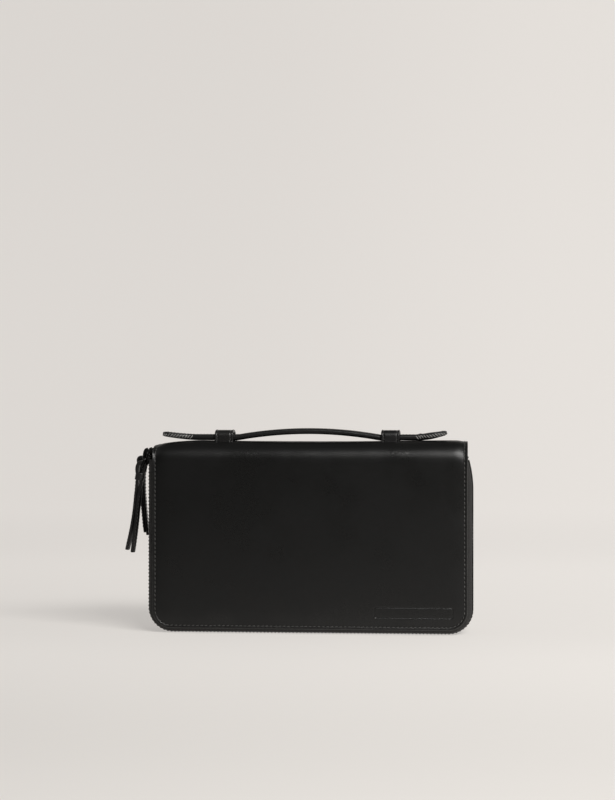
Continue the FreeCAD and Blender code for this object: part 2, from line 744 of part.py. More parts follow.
def pull_link(prefix, side, lean):
    """A wire link with its upper side through the bail: four rods and a ball at each corner."""
    name = f"{prefix}_puller_link"
    half = "Sizes.link_half_width"
    wire = "Sizes.link_wire"
    tall = "Sizes.link_length"
    flat = FreeCAD.Rotation(V(1, 0, 0), -90)
    straight = FreeCAD.Rotation()
    pieces = []
    for row, height in (("upper", "0"), ("lower", f"-{tall}")):
        pieces.append(primitive(
            "Part::Cylinder", f"{name}_{row}_rod", ("0", f"-{half}", height), flat,
            Radius=wire, Height=f"2 * {half}",
        ))
    for hand, sign in (("front", "-"), ("back", "")):
        pieces.append(primitive(
            "Part::Cylinder", f"{name}_{hand}_rod", ("0", f"{sign}{half}", f"-{tall}"), straight,
            Radius=wire, Height=tall,
        ))
        for row, height in (("upper", "0"), ("lower", f"-{tall}")):
            pieces.append(primitive(
                "Part::Sphere", f"{name}_{hand}_{row}_corner", ("0", f"{sign}{half}", height), straight,
                Radius=wire,
            ))
    ring = doc.addObject("Part::MultiFuse", name)
    ring.Label = name
    ring.Shapes = pieces
    set_place(ring, f"-{PIVOT_OUT}", f"{side}Sizes.chain_depth", PIVOT_HEIGHT, size(lean))
    sub_parts.append(ring)


def pull_strap(prefix, side, link_lean, strap_lean):
    """A leather strip folded round the link's lower rod, with two tails, and the band that holds it."""
    across = f"-{PIVOT_OUT} - Sizes.link_length * sin(Sizes.{link_lean})"
    height = f"{PIVOT_HEIGHT} - Sizes.link_length * cos(Sizes.{link_lean})"
    depth = f"{side}Sizes.chain_depth"
    lean = size(strap_lean)
    strap = new_body(f"{prefix}_pull_strap")
    thick = "Sizes.strap_half_thick"
    split = "Sizes.strap_split"
    tip = "Sizes.strap_long"
    neck = "-Sizes.strap_neck"
    parting = f"-({split} - Sizes.strap_split_lead)"
    longer = f"({tip} + Sizes.right_tail_extra)"
    outline = [
        ("-Sizes.strap_loop", "0"), (f"-{thick}", neck), (f"-{thick}", parting),
        (f"-({thick} + Sizes.left_tail_spread)", f"-({tip} - Sizes.tail_cut)"),
        ("-Sizes.left_tail_spread", f"-{tip}"), ("0", f"-{split}"), ("Sizes.right_tail_in", f"-{longer}"),
        (f"{thick} + Sizes.right_tail_spread", f"-({longer} - Sizes.tail_cut)"), (thick, parting),
        (thick, neck), ("Sizes.strap_loop", "0"),
    ]
    pad(strap, polygon(strap, "tails_outline", "XZ_Plane", outline), "tails", "Sizes.strap_wide", True)
    pad(strap, disc(strap, "loop_outline", "XZ_Plane", "Sizes.strap_loop"), "loop", "Sizes.strap_wide", True)
    pocket(strap, disc(strap, "loop_hole", "XZ_Plane", "Sizes.strap_hole"), "hole")
    set_place(strap, across, depth, height, lean)

    band = new_body(f"{prefix}_pull_binding")
    low = "-(Sizes.binding_top + Sizes.binding_tall)"
    near = f"({thick} + Sizes.binding_gap)"
    deep = "(Sizes.strap_wide / 2 + Sizes.binding_gap)"
    wall = "Sizes.binding_thick"
    block = rectangle(
        band, "band_outline", "XY_Plane", f"-({near} + {wall})", f"{near} + {wall}",
        f"-({deep} + {wall})", f"{deep} + {wall}", low,
    )
    pad(band, block, "band", "Sizes.binding_tall")
    inside = rectangle(band, "band_inside", "XY_Plane", f"-{near}", near, f"-{deep}", deep, low)
    pocket(band, inside, "inside")
    set_place(band, across, depth, height, lean)


def handle_arch():
    """The padded middle of the handle between the keepers, a bow of even thickness with slanted ends."""
    body = new_body("handle_arch")
    sketch = attach(body, "arch_outline", "XZ_Plane", "0")
    radius = size("arch_radius")
    inner = radius - size("handle_thick")
    centre = V(size("handle_middle"), size("arch_top") - radius, 0)

    def on_arc(across, distance):
        return V(across, centre.y + math.sqrt(distance ** 2 - (across - centre.x) ** 2), 0)

    slant = size("arch_slant")
    top_left = on_arc(size("arch_left"), radius)
    top_right = on_arc(size("arch_right"), radius)
    low_left = on_arc(size("arch_left") + slant, inner)
    low_right = on_arc(size("arch_right") - slant, inner)

    def bow(right, left, distance):
        ends = [math.atan2(point.y - centre.y, point.x - centre.x) for point in (right, left)]
        return Part.ArcOfCircle(Part.Circle(centre, UP, distance), *ends)

    sketch.addGeometry([
        bow(top_right, top_left, radius), bow(low_right, low_left, inner),
        Part.LineSegment(top_left, low_left), Part.LineSegment(top_right, low_right),
    ], False)
    for ends in [(0, 2, 2, 1), (1, 2, 2, 2), (0, 1, 3, 1), (1, 1, 3, 2), (1, 3, 0, 3)]:
        sketch.addConstraint(Sketcher.Constraint("Coincident", *ends))
    place_point(sketch, 0, 3, centre, "centre", "Sizes.handle_middle", "Sizes.arch_top - Sizes.arch_radius")
    bind(sketch, "Radius", (0,), radius, "outer", "Sizes.arch_radius")
    bind(sketch, "Radius", (1,), inner, "inner", "Sizes.arch_radius - Sizes.handle_thick")
    ends = [
        (2, 1, top_left, "top_left", "Sizes.arch_left"),
        (2, 2, low_left, "low_left", "Sizes.arch_left + Sizes.arch_slant"),
        (3, 1, top_right, "top_right", "Sizes.arch_right"),
        (3, 2, low_right, "low_right", "Sizes.arch_right - Sizes.arch_slant"),
    ]
    for line, point, start, name, expression in ends:
        bind(sketch, "DistanceX", (-1, 1, line, point), start.x, name, expression)
    pad(body, sketch, "arch_width", "Sizes.handle_wide", True)


def handle_tail(name, sign, straight, tip, end):
    """One end of the handle strap: flat through its keeper, then curving up to a wider tip.
    sign is the side of the spine; the inner end is cut to match the arch's slant."""
    body = new_body(name)
    sketch = attach(body, f"{name}_outline", "XZ_Plane", "0")
    hand = -1 if sign == "-" else 1
    low, thick, gap = size("tail_low"), size("handle_thick"), size("body_gap")
    tip_low, tip_top, far = size("tail_tip_low"), size("tail_tip_top"), size(tip)
    cut, lead = size("tip_cut"), size("tail_bend_lead")
    inner = abs(size(end)) + gap
    slant = size("arch_slant")
    bend = size(straight)
    top = low + thick
    points = [
        V(hand * (inner - slant), low, 0), V(hand * bend, low, 0), V(hand * (far - cut), tip_low, 0),
        V(hand * far, tip_top, 0), V(hand * (bend - lead), top, 0), V(hand * inner, top, 0),
    ]

    def rising(first, last):
        """The arc that leaves the first point level and ends at the last one, counterclockwise."""
        run, rise = last.x - first.x, last.y - first.y
        radius = (run * run + rise * rise) / (2 * rise)
        centre = V(first.x, first.y + radius, 0)
        raised = math.atan2(last.y - centre.y, last.x - centre.x)
        turns = sorted([-math.pi / 2, raised])
        return Part.ArcOfCircle(Part.Circle(centre, UP, radius), *turns)

    sketch.addGeometry([
        Part.LineSegment(points[0], points[1]), rising(points[1], points[2]),
        Part.LineSegment(points[2], points[3]), rising(points[4], points[3]),
        Part.LineSegment(points[4], points[5]), Part.LineSegment(points[5], points[0]),
    ], False)
    # An arc's start and end swap with the side it curves to.
    level, raised = (1, 2) if hand > 0 else (2, 1)
    sketch.addConstraint(Sketcher.Constraint("Tangent", 0, 2, 1, level))
    sketch.addConstraint(Sketcher.Constraint("Coincident", 1, raised, 2, 1))
    sketch.addConstraint(Sketcher.Constraint("Coincident", 2, 2, 3, raised))
    sketch.addConstraint(Sketcher.Constraint("Tangent", 3, level, 4, 1))
    sketch.addConstraint(Sketcher.Constraint("Coincident", 4, 2, 5, 1))
    sketch.addConstraint(Sketcher.Constraint("Coincident", 5, 2, 0, 1))
    sketch.addConstraint(Sketcher.Constraint("Horizontal", 0))
    sketch.addConstraint(Sketcher.Constraint("Horizontal", 4))
    upper_cut = f"{sign}(abs(Sizes.{end}) + Sizes.body_gap)"
    lower_cut = f"{sign}(abs(Sizes.{end}) + Sizes.body_gap - Sizes.arch_slant)"
    place_point(sketch, 0, 1, points[0], "inner_low", lower_cut, "Sizes.tail_low")
    tip_cut = f"{sign}(Sizes.{tip} - Sizes.tip_cut)"
    bend_top = f"{sign}(Sizes.{straight} - Sizes.tail_bend_lead)"
    place_point(sketch, 2, 1, points[2], "tip_low", tip_cut, "Sizes.tail_tip_low")
    place_point(sketch, 2, 2, points[3], "tip_top", f"{sign}Sizes.{tip}", "Sizes.tail_tip_top")
    place_point(sketch, 4, 2, points[5], "inner_top", upper_cut, "Sizes.tail_low + Sizes.handle_thick")
    bind(sketch, "DistanceX", (-1, 1, 0, 2), points[1].x, "bend_low", f"{sign}Sizes.{straight}")
    bind(sketch, "DistanceX", (-1, 1, 4, 1), points[4].x, "bend_top", bend_top)
    pad(body, sketch, f"{name}_width", "Sizes.paddle_wide", True)
    shoulder = f"{sign}(Sizes.{tip} - Sizes.paddle_long)"
    for place, side in (("front", "-"), ("back", "")):
        trim = rectangle(
            body, f"{name}_{place}_trim", "XY_Plane", "0", shoulder,
            f"{side}Sizes.handle_wide / 2", f"{side}Sizes.paddle_wide", "Sizes.tail_low",
        )
        pocket(body, trim, f"{name}_{place}_waist")


def card_slots():
    """Two columns of staggered card slots inside the front cover, each lower one in front of the last."""
    columns = [
        ("left", "-Sizes.pocket_side", "-Sizes.pocket_middle"),
        ("right", "Sizes.pocket_middle", "Sizes.pocket_side"),
    ]
    for hand, left, right in columns:
        for index in range(CARD_SLOTS):
            stand = f"{INNER_FACE} - {index} * Sizes.pocket_step - Sizes.pocket_sheet"
            sheet_panel(
                f"card_slot_{hand}_{index + 1}", left, right, "Sizes.pocket_low",
                f"Sizes.card_slot_top - {index} * Sizes.card_slot_step", f"-({stand})",
                "Sizes.pocket_sheet", "Sizes.pocket_radius",
            )


def flat_pockets():
    """The note pocket on the middle leaf and the two document pockets inside the back cover."""
    sheet_panel(
        "note_pocket", "-Sizes.pocket_side", "Sizes.pocket_side", "Sizes.pocket_low",
        "Sizes.note_pocket_top", f"-({LEAF_FACE})", "Sizes.pocket_sheet", "Sizes.pocket_radius",
    )
    sheet_panel(
        "passport_pocket", "-Sizes.pocket_side", "-Sizes.pocket_middle", "Sizes.pocket_low",
        "Sizes.passport_pocket_top", INNER_FACE, "Sizes.pocket_sheet", "Sizes.pocket_radius",
    )
    sheet_panel(
        "boarding_pass_pocket", "-Sizes.pocket_side", "Sizes.pocket_side", "Sizes.pocket_low",
        "Sizes.boarding_pocket_top", f"{INNER_FACE} - Sizes.pocket_step", "Sizes.pocket_sheet",
        "Sizes.pocket_radius",
    )


def coin_pocket():
    """A zipped pocket sewn on the back of the middle leaf: its panel, tape and teeth."""
    outer = f"{LEAF_FACE} + Sizes.pocket_sheet"
    panel = sheet_panel(
        "coin_pocket_panel", "-Sizes.coin_half_width", "Sizes.coin_half_width", "Sizes.coin_low",
        "Sizes.coin_top", outer, "Sizes.pocket_sheet", "Sizes.pocket_radius",
    )
    zip_low = "Sizes.coin_zip_height - Sizes.coin_zip_half_tall"
    zip_top = "Sizes.coin_zip_height + Sizes.coin_zip_half_tall"
    long = "Sizes.coin_zip_half_long"
    window = rectangle(panel, "zip_window", "XZ_Plane", f"-{long}", long, zip_low, zip_top)
    pocket(panel, window, "window")

    tape = new_body("coin_zip_tape")
    frame = rectangle(tape, "tape_outline", "XZ_Plane", f"-{long}", long, zip_low, zip_top, f"-({outer})")
    pad(tape, frame, "tape_plate", "Sizes.pocket_sheet")
    gap = "Sizes.coin_tape_inner"
    slit = rectangle(
        tape, "teeth_slit", "XZ_Plane", f"-({long} - Sizes.coin_slit_end)", f"{long} - Sizes.coin_slit_end",
        f"Sizes.coin_zip_height - {gap}", f"Sizes.coin_zip_height + {gap}",
    )
    pocket(tape, slit, "slit")

    thick = size("coin_tooth_thick")
    width = size("coin_tooth_width")
    gap = size("coin_gap")
    head = size("coin_tooth_head")
    face = size("stiffener") / 2 + size("leaf_panel") + gap
    height = size("coin_zip_height")
    edge = size("coin_tape_inner") - gap
    pitch = size("coin_tooth_pitch")
    reach = size("coin_zip_half_long") - size("coin_teeth_end")
    count = int(2 * reach / pitch)
    shapes = []
    for index in range(2 * count):
        across = -reach + index * pitch / 2
        upper = index % 2
        low = height - head if upper else height - edge
        shapes.append(Part.makeBox(width, thick, edge + head, V(across, face, low)))
    teeth = doc.addObject("Part::Feature", "coin_zip_teeth")
    teeth.Label = "coin_zip_teeth"
    teeth.Shape = Part.makeCompound(shapes)
    sub_parts.append(teeth)


def coin_slider():
    """The coin zip's slider, about the middle of its plate, and the tab that swings on its lug."""
    start = "Sizes.coin_slider_start"
    height = "Sizes.coin_zip_height"
    slider = new_body("coin_zip_slider")
    half = "Sizes.coin_slider_half_long"
    tall = "Sizes.coin_slider_half_tall"
    front = "Sizes.coin_slider_front"
    face = f"({front} + Sizes.coin_slider_plate)"
    nose = "Sizes.coin_slider_nose"
    outline = [
        (f"-{half}", f"-{tall}"), (f"{half} - {nose}", f"-{tall}"), (half, f"-{nose}"), (half, nose),
        (f"{half} - {nose}", tall), (f"-{half}", tall),
    ]
    plate = polygon(slider, "plate_outline", "XZ_Plane", outline, f"-{face}")
    pad(slider, plate, "plate", "Sizes.coin_slider_plate")
    for row, sign in (("lower", "-"), ("upper", "")):
        lip = rectangle(
            slider, f"{row}_lip", "XZ_Plane", f"-{half}", f"{half} - {nose}",
            f"{sign}({tall} - Sizes.coin_flange_wide)", f"{sign}({tall})", f"-{front}",
        )
        pad(slider, lip, f"{row}_flange", "Sizes.coin_flange_deep")
    block = rectangle(
        slider, "lug_outline", "YZ_Plane", face, f"{face} + Sizes.coin_lug + Sizes.coin_lug_rim",
        "-Sizes.coin_lug_half_tall", "Sizes.coin_lug_half_tall", "-Sizes.coin_lug_half_long",
    )
    pad(slider, block, "lug", "2 * Sizes.coin_lug_half_long")
    hole = attach(slider, "lug_hole_outline", "YZ_Plane", "0")
    centre = V(size("coin_pivot"), 0, 0)
    radius = size("coin_lug_hole")
    hole.addGeometry(Part.Circle(centre, UP, radius), False)
    place_point(hole, 0, 3, centre, "centre", "Sizes.coin_pivot", "0")
    bind(hole, "Radius", (0,), radius, "radius", "Sizes.coin_lug_hole")
    pocket(slider, hole, "lug_hole")
    set_place(slider, start, "0", height)

    tab = new_body("coin_pull_tab")
    low = "-Sizes.coin_pull_long"
    wide = "Sizes.coin_tab_half_wide"
    narrow = "Sizes.coin_tab_half_narrow"
    bend = "-Sizes.coin_tab_straight"
    top = "Sizes.coin_tab_head"
    corners = [
        (f"-{wide}", top), (f"-{wide}", bend), (f"-{narrow}", low), (narrow, low), (wide, bend), (wide, top),
    ]
    pad(tab, polygon(tab, "tab_outline", "XZ_Plane", corners), "tab", "Sizes.coin_tab_thick", True)
    hole_half = "Sizes.coin_tab_hole_half"
    window = rectangle(
        tab, "tab_window", "XZ_Plane", f"-{hole_half}", hole_half, "-Sizes.coin_tab_hole_low", f"-{top}"
    )
    pocket(tab, window, "window")
    set_place(tab, start, "Sizes.coin_pivot", height)


def build():
    spine_parts()
    keeper("keeper_left", "Sizes.keeper_left")
    keeper("keeper_right", "Sizes.keeper_right")
    leaf_panels()
    for prefix, side in (("front", FRONT), ("back", BACK)):
        cover_panels(prefix, side)
        zip_chain(prefix, side)
        zip_slider(prefix, side)
        pull_link(prefix, side, f"{prefix}_link_lean")
        pull_strap(prefix, side, f"{prefix}_link_lean", f"{prefix}_strap_lean")
    zip_stops()
    handle_arch()
    handle_tail("handle_tail_left", "-", "tail_straight", "tail_tip_left", "arch_left")
    handle_tail("handle_tail_right", "", "tail_straight_right", "tail_tip_right", "arch_right")
    card_slots()
    flat_pockets()
    coin_pocket()
    coin_slider()
    doc.recompute()


def write_parts():
    """Stops on any failed object, then writes each sub-part under its own name."""
    failed = [item.Label for item in doc.Objects if {"Invalid", "Error"} & set(item.State)]
    if failed:
        raise RuntimeError(f"failed: {failed}")
    for item in sub_parts:
        if item.Shape.isNull() or not item.Shape.isValid() or not item.Shape.Solids:
            raise RuntimeError(f"{item.Label} has no valid solid")
    os.makedirs("parts", exist_ok=True)
    for item in sub_parts:
        item.Shape.exportStep(f"parts/{item.Label}.step")
        box = item.Shape.BoundBox
        print(
            f"{item.Label:26s} {len(item.Shape.Solids):4d} solids {item.Shape.Volume:9.1f} mm3 "
            f"x {box.XMin:7.1f} {box.XMax:7.1f} y {box.YMin:6.1f} {box.YMax:6.1f} "
            f"z {box.ZMin:6.1f} {box.ZMax:6.1f}"
        )
    print(len(sub_parts), "sub-parts")


build()
write_parts()
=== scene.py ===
import json
import math

import bmesh
import bpy
import numpy as np
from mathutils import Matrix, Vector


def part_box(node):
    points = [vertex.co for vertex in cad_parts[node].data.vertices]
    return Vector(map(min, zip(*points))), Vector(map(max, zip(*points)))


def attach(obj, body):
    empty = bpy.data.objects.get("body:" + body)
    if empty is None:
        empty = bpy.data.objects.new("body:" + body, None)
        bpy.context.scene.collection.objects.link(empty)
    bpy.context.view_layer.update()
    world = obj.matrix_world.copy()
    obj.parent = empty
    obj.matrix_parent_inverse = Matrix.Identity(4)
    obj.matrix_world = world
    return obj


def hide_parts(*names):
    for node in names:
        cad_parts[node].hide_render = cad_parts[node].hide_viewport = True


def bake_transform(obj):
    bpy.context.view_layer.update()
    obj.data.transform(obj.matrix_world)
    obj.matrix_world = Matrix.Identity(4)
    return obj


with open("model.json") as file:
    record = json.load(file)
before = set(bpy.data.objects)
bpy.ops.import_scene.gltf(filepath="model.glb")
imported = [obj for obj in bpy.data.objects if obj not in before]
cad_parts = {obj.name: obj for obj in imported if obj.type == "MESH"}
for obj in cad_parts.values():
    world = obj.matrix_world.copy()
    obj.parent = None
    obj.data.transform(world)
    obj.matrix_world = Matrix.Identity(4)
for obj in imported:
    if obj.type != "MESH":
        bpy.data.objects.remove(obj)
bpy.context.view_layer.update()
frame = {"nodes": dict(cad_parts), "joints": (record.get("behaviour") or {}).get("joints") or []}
scene = bpy.context.scene
mm = 0.001
rightWay, backWay, upWay = np.eye(3)
print("frame loaded,", len(frame["nodes"]), "nodes")


def nodeBox(name):
    low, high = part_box(name)
    return np.array(low) / mm, np.array(high) / mm


# shapes are dictionaries of points, faces, face corner UVs, materials and nearness to an edge, in millimetres


def gridShape(points, closeRows=False, closeColumns=False, edge=None):
    # a net of quads over rows x columns of points; its UV is the distance run along the rows and columns
    rows, columns = points.shape[:2]
    index = np.arange(rows * columns).reshape(rows, columns)
    net = points
    if closeRows:
        index, net = np.vstack([index, index[:1]]), np.vstack([net, net[:1]])
    if closeColumns:
        index, net = np.hstack([index, index[:, :1]]), np.hstack([net, net[:, :1]])
    along = np.linalg.norm(np.diff(net, axis=0), axis=2).mean(axis=1)
    across = np.linalg.norm(np.diff(net, axis=1), axis=2).mean(axis=0)
    u, v = np.meshgrid(np.concatenate([[0], np.cumsum(across)]), np.concatenate([[0], np.cumsum(along)]))

    def corners(a):
        return np.stack([a[:-1, :-1], a[:-1, 1:], a[1:, 1:], a[1:, :-1]], axis=-1).reshape(-1, 4)

    faces = corners(index)
    return {
        "points": points.reshape(-1, 3).astype(float),
        "faces": faces,
        "uvs": np.stack([corners(u), corners(v)], axis=-1),
        "materials": np.zeros(len(faces), int),
        "edge": np.zeros(rows * columns) if edge is None else np.asarray(edge, float).reshape(-1),
    }


def joinShapes(shapes):
    counts = np.cumsum([0] + [len(s["points"]) for s in shapes[:-1]])
    joined = {key: np.concatenate([s[key] for s in shapes]) for key in ("points", "uvs", "materials", "edge")}
    joined["faces"] = np.concatenate([s["faces"] + count for s, count in zip(shapes, counts)])
    return joined


def unit(vectors):
    return vectors / np.linalg.norm(vectors, axis=-1, keepdims=True)


def capShape(ring, dome=0.0, outward=(0, 0, 0)):
    # closes a ring: a row half way in and a pole at its middle, lifted along outward by the dome
    middle = ring.mean(axis=0)
    lift = np.asarray(outward) * dome
    rows = [ring, middle + (ring - middle) * 0.72 + lift * 0.75, np.broadcast_to(middle + lift, ring.shape)]
    return gridShape(np.stack(rows), closeColumns=True)


def carry(path, sides, lifts, section, closed=False, dome=0.0):
    # each point is the path's point plus side times the section's first number plus lift times its second
    sides, lifts = np.broadcast_to(sides, path.shape), np.broadcast_to(lifts, path.shape)
    section = np.broadcast_to(section, (len(path),) + np.shape(section)[-2:])
    points = path[:, None] + sides[:, None] * section[..., 0:1] + lifts[:, None] * section[..., 1:2]
    shapes = [gridShape(points, closeRows=closed, closeColumns=True)]
    if not closed:
        for end, beside in ((0, 1), (-1, -2)):
            shapes.append(capShape(points[end], dome, unit(path[end] - path[beside])))
    return joinShapes(shapes)


def signedPower(values, power):
    # the size of each value raised to the power, with the value's own sign
    return np.sign(values) * np.abs(values) ** power


def ovalSection(halfWide, halfThick, power=2.0, count=24, flatten=1.0):
    # a rounded box: the cosine and sine of the angle raised to 2 / power, its under side flattened
    angle = np.linspace(0, 2 * math.pi, count, endpoint=False)
    wide = halfWide * signedPower(np.cos(angle), 2 / power)
    thick = halfThick * signedPower(np.sin(angle), 2 / power)
    return np.stack([wide, np.where(thick < 0, thick * flatten, thick)], axis=1)


def runAlong(line):
    # the distance run to each point of a line
    return np.concatenate([[0], np.cumsum(np.linalg.norm(np.diff(line, axis=0), axis=1))])


def evenly(line, pitch):
    # the same line with points at one pitch, and its direction at each
    run = runAlong(line)
    count = max(2, int(round(run[-1] / pitch)))
    at = (np.arange(count) + 0.5) * run[-1] / count

    def pointsAt(where):
        return np.stack([np.interp(where, run, column) for column in line.T], axis=1)

    ahead, behind = np.minimum(at + pitch * 0.2, run[-1]), np.maximum(at - pitch * 0.2, 0)
    return pointsAt(at), unit(pointsAt(ahead) - pointsAt(behind))


def repeatShape(base, centres, tangents, normals):
    # copies of a small shape, its x along the tangents and its z along the normals
    sides = np.cross(normals, tangents)
    p = base["points"]
    points = (
        centres[:, None]
        + tangents[:, None] * p[None, :, 0:1]
        + sides[:, None] * p[None, :, 1:2]
        + normals[:, None] * p[None, :, 2:3]
    )
    count = len(centres)
    return {
        "points": points.reshape(-1, 3),
        "faces": (base["faces"][None] + (np.arange(count) * len(p))[:, None, None]).reshape(-1, 4),
        "uvs": np.tile(base["uvs"], (count, 1, 1)),
        "materials": np.tile(base["materials"], count),
        "edge": np.tile(base["edge"], count),
    }


def turned(vectors, axes, degrees):
    # vectors turned about unit axes at right angles to them
    angle = math.radians(degrees)
    return vectors * math.cos(angle) + np.cross(axes, vectors) * math.sin(angle)


def stitches(line, normals, thread):
    # short arched threads along a line: each dives at its ends and lies a little across the line
    place, toward = evenly(np.hstack([line, np.broadcast_to(normals, line.shape)]), thread["pitch"])
    centres, normals = place[:, :3], unit(place[:, 3:])
    tangents = unit(toward[:, :3] - normals * np.sum(toward[:, :3] * normals, axis=1, keepdims=True))
    tangents = turned(tangents, normals, thread["slant"])
    t = np.array([-1, -0.78, -0.3, 0.3, 0.78, 1])
    swell = np.array([0.35, 0.85, 1, 1, 0.85, 0.35]) * thread["radius"]
    arch = np.array([-1.3, -0.25, 0.25, 0.25, -0.25, -1.3]) * thread["radius"]
    around = np.linspace(0, 2 * math.pi, 6, endpoint=False)
    circle = np.stack([np.zeros(6), np.cos(around), np.sin(around)], axis=1)
    points = circle[None] * swell[:, None, None]
    points[..., 0] += (t * thread["length"] / 2)[:, None]
    points[..., 2] += arch[:, None]
    rings = [np.stack([ring, np.broadcast_to(ring.mean(0), ring.shape)]) for ring in points[[0, -1]]]
    one = joinShapes([gridShape(net, closeColumns=True) for net in [points] + rings])
    return repeatShape(one, centres, tangents, normals)


meshSizes = {"merge": 2e-6, "sharp": 50}


def makePiece(name, shapes, materials, body=None, blend=None, replaced=()):
    # puts the shapes in one mesh, merges what meets, turns faces outwards and ties the piece to its body; a piece
    # given a blend is only baked where it stands, and the blend's bodies and points are not read
    shape = joinShapes(shapes)
    mesh = bpy.data.meshes.new(name)
    mesh.from_pydata(shape["points"] * mm, [], shape["faces"].tolist())
    layer = mesh.uv_layers.new(name="patternMap")
    layer.data.foreach_set("uv", shape["uvs"].reshape(-1).astype(np.float32))
    mesh.polygons.foreach_set("material_index", shape["materials"].astype(np.int32))
    near = mesh.attributes.new("edgeNear", "FLOAT", "POINT")
    near.data.foreach_set("value", shape["edge"].astype(np.float32))
    work = bmesh.new()
    work.from_mesh(mesh)
    bmesh.ops.remove_doubles(work, verts=work.verts, dist=meshSizes["merge"])
    bmesh.ops.recalc_face_normals(work, faces=work.faces)
    work.to_mesh(mesh)
    work.free()
    mesh.shade_smooth()
    mesh.set_sharp_from_angle(angle=math.radians(meshSizes["sharp"]))
    for material in materials:
        mesh.materials.append(material)
    piece = bpy.data.objects.new(name, mesh)
    scene.collection.objects.link(piece)
    if blend:
        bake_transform(piece)
    else:
        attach(piece, body)
    if replaced:
        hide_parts(*replaced)


# materials


def setInputs(tree, node, values):
    for key, value in values.items():
        if isinstance(value, bpy.types.NodeSocket):
            tree.links.new(value, node.inputs[key])
        else:
            node.inputs[key].default_value = value


def addNode(tree, kind, values=(), **settings):
    node = tree.nodes.new("ShaderNode" + kind)
    for key, value in settings.items():
        setattr(node, key, value)
    setInputs(tree, node, dict(values))
    return node


def noise(tree, vector, scale, detail, rough=0.5):
    return addNode(tree, "TexNoise", {"Vector": vector, "Scale": scale, "Detail": detail, "Roughness": rough})


def calc(tree, operation, *numbers, clamp=False):
    node = addNode(tree, "Math", dict(enumerate(numbers)), operation=operation, use_clamp=clamp)
    return node.outputs[0]


def mixColour(tree, factor, first, second):
    node = addNode(tree, "Mix", {0: factor, 6: first, 7: second}, data_type="RGBA")
    return node.outputs[2]


def remap(tree, value, fromLow, fromHigh, toLow=0.0, toHigh=1.0):
    limits = {0: value, 1: fromLow, 2: fromHigh, 3: toLow, 4: toHigh}
    return addNode(tree, "MapRange", limits, clamp=True, interpolation_type="SMOOTHSTEP").outputs[0]


def newGroup(name, inputs, outputs):
    # an input without a value is a vector, every other input and output is a number
    tree = bpy.data.node_groups.new(name, "ShaderNodeTree")
    for label, value in {"Vector": None, **inputs}.items():
        kind = "NodeSocketVector" if value is None else "NodeSocketFloat"
        socket = tree.interface.new_socket(name=label, in_out="INPUT", socket_type=kind)
        if value is not None:
            socket.default_value = value
    for label in outputs:
        tree.interface.new_socket(name=label, in_out="OUTPUT", socket_type="NodeSocketFloat")
    return tree, tree.nodes.new("NodeGroupInput").outputs, tree.nodes.new("NodeGroupOutput")


def buildGrain():
    # hide grain: cells of a warped Voronoi net, with pores between them and slow changes of tone
    tree, given, out = newGroup("hideGrain", {"Cells": 1100.0, "Folds": 60.0}, ("Height", "Tone", "Shine"))
    vector = given["Vector"]
    warp = noise(tree, vector, 420.0, 2.0)
    shift = addNode(tree, "VectorMath", {0: warp.outputs["Color"], "Scale": 0.0011}, operation="SCALE")
    place = addNode(tree, "VectorMath", {0: vector, 1: shift.outputs[0]}, operation="ADD").outputs[0]
    net = {"Vector": place, "Scale": given["Cells"]}
    cells = addNode(tree, "TexVoronoi", net, feature="DISTANCE_TO_EDGE")
    pebble = remap(tree, cells.outputs["Distance"], 0.0, 0.3)
    fine = noise(tree, place, 2600.0, 3.0)
    slow = noise(tree, vector, given["Folds"], 3.0, 0.55)
    height = calc(tree, "MULTIPLY_ADD", pebble, 0.7, calc(tree, "MULTIPLY", fine.outputs["Fac"], 0.3))
    tone = remap(tree, slow.outputs["Fac"], 0.32, 0.68)
    shine = calc(tree, "MULTIPLY_ADD", pebble, 0.4, calc(tree, "MULTIPLY", tone, 0.6))
    setInputs(tree, out, {"Height": height, "Tone": tone, "Shine": shine})
    return tree


def buildWear():
    # where an edge is rubbed: nearness to the edge broken up by noise
    tree, given, out = newGroup("edgeRub", {"Edge": 0.0, "Amount": 0.5}, ("Mask",))
    speck = noise(tree, given["Vector"], 260.0, 4.0, 0.7)
    broken = calc(tree, "MULTIPLY", given["Edge"], remap(tree, speck.outputs["Fac"], 0.35, 0.7))
    setInputs(tree, out, {"Mask": calc(tree, "MULTIPLY", broken, given["Amount"], clamp=True)})
    return tree


def buildWeave():
    # cloth: warp and weft as rounded threads that pass over each other in steps of the twill
    tree, given, out = newGroup("threadWeave", {"Thread": 0.4, "Twill": 2.0}, ("Height", "Over", "Fuzz"))
    vector, twill = given["Vector"], given["Twill"]
    axes = addNode(tree, "SeparateXYZ", {0: vector})
    u, v = (calc(tree, "DIVIDE", axes.outputs[k], given["Thread"]) for k in (0, 1))
    waves = [calc(tree, "SINE", calc(tree, "MULTIPLY", t, math.pi)) for t in (u, v)]
    warp, weft = (calc(tree, "ABSOLUTE", wave) for wave in waves)
    steps = calc(tree, "ADD", calc(tree, "FLOOR", u), calc(tree, "FLOOR", v))
    phase = calc(tree, "FLOORED_MODULO", steps, calc(tree, "MULTIPLY", twill, 2.0))
    over = calc(tree, "LESS_THAN", phase, twill)
    under = calc(tree, "SUBTRACT", 1.0, over)
    height = calc(tree, "MULTIPLY_ADD", over, warp, calc(tree, "MULTIPLY", under, weft))
    fuzz = noise(tree, vector, 1.7, 3.0)
    setInputs(tree, out, {"Height": height, "Over": over, "Fuzz": fuzz.outputs["Fac"]})
    return tree


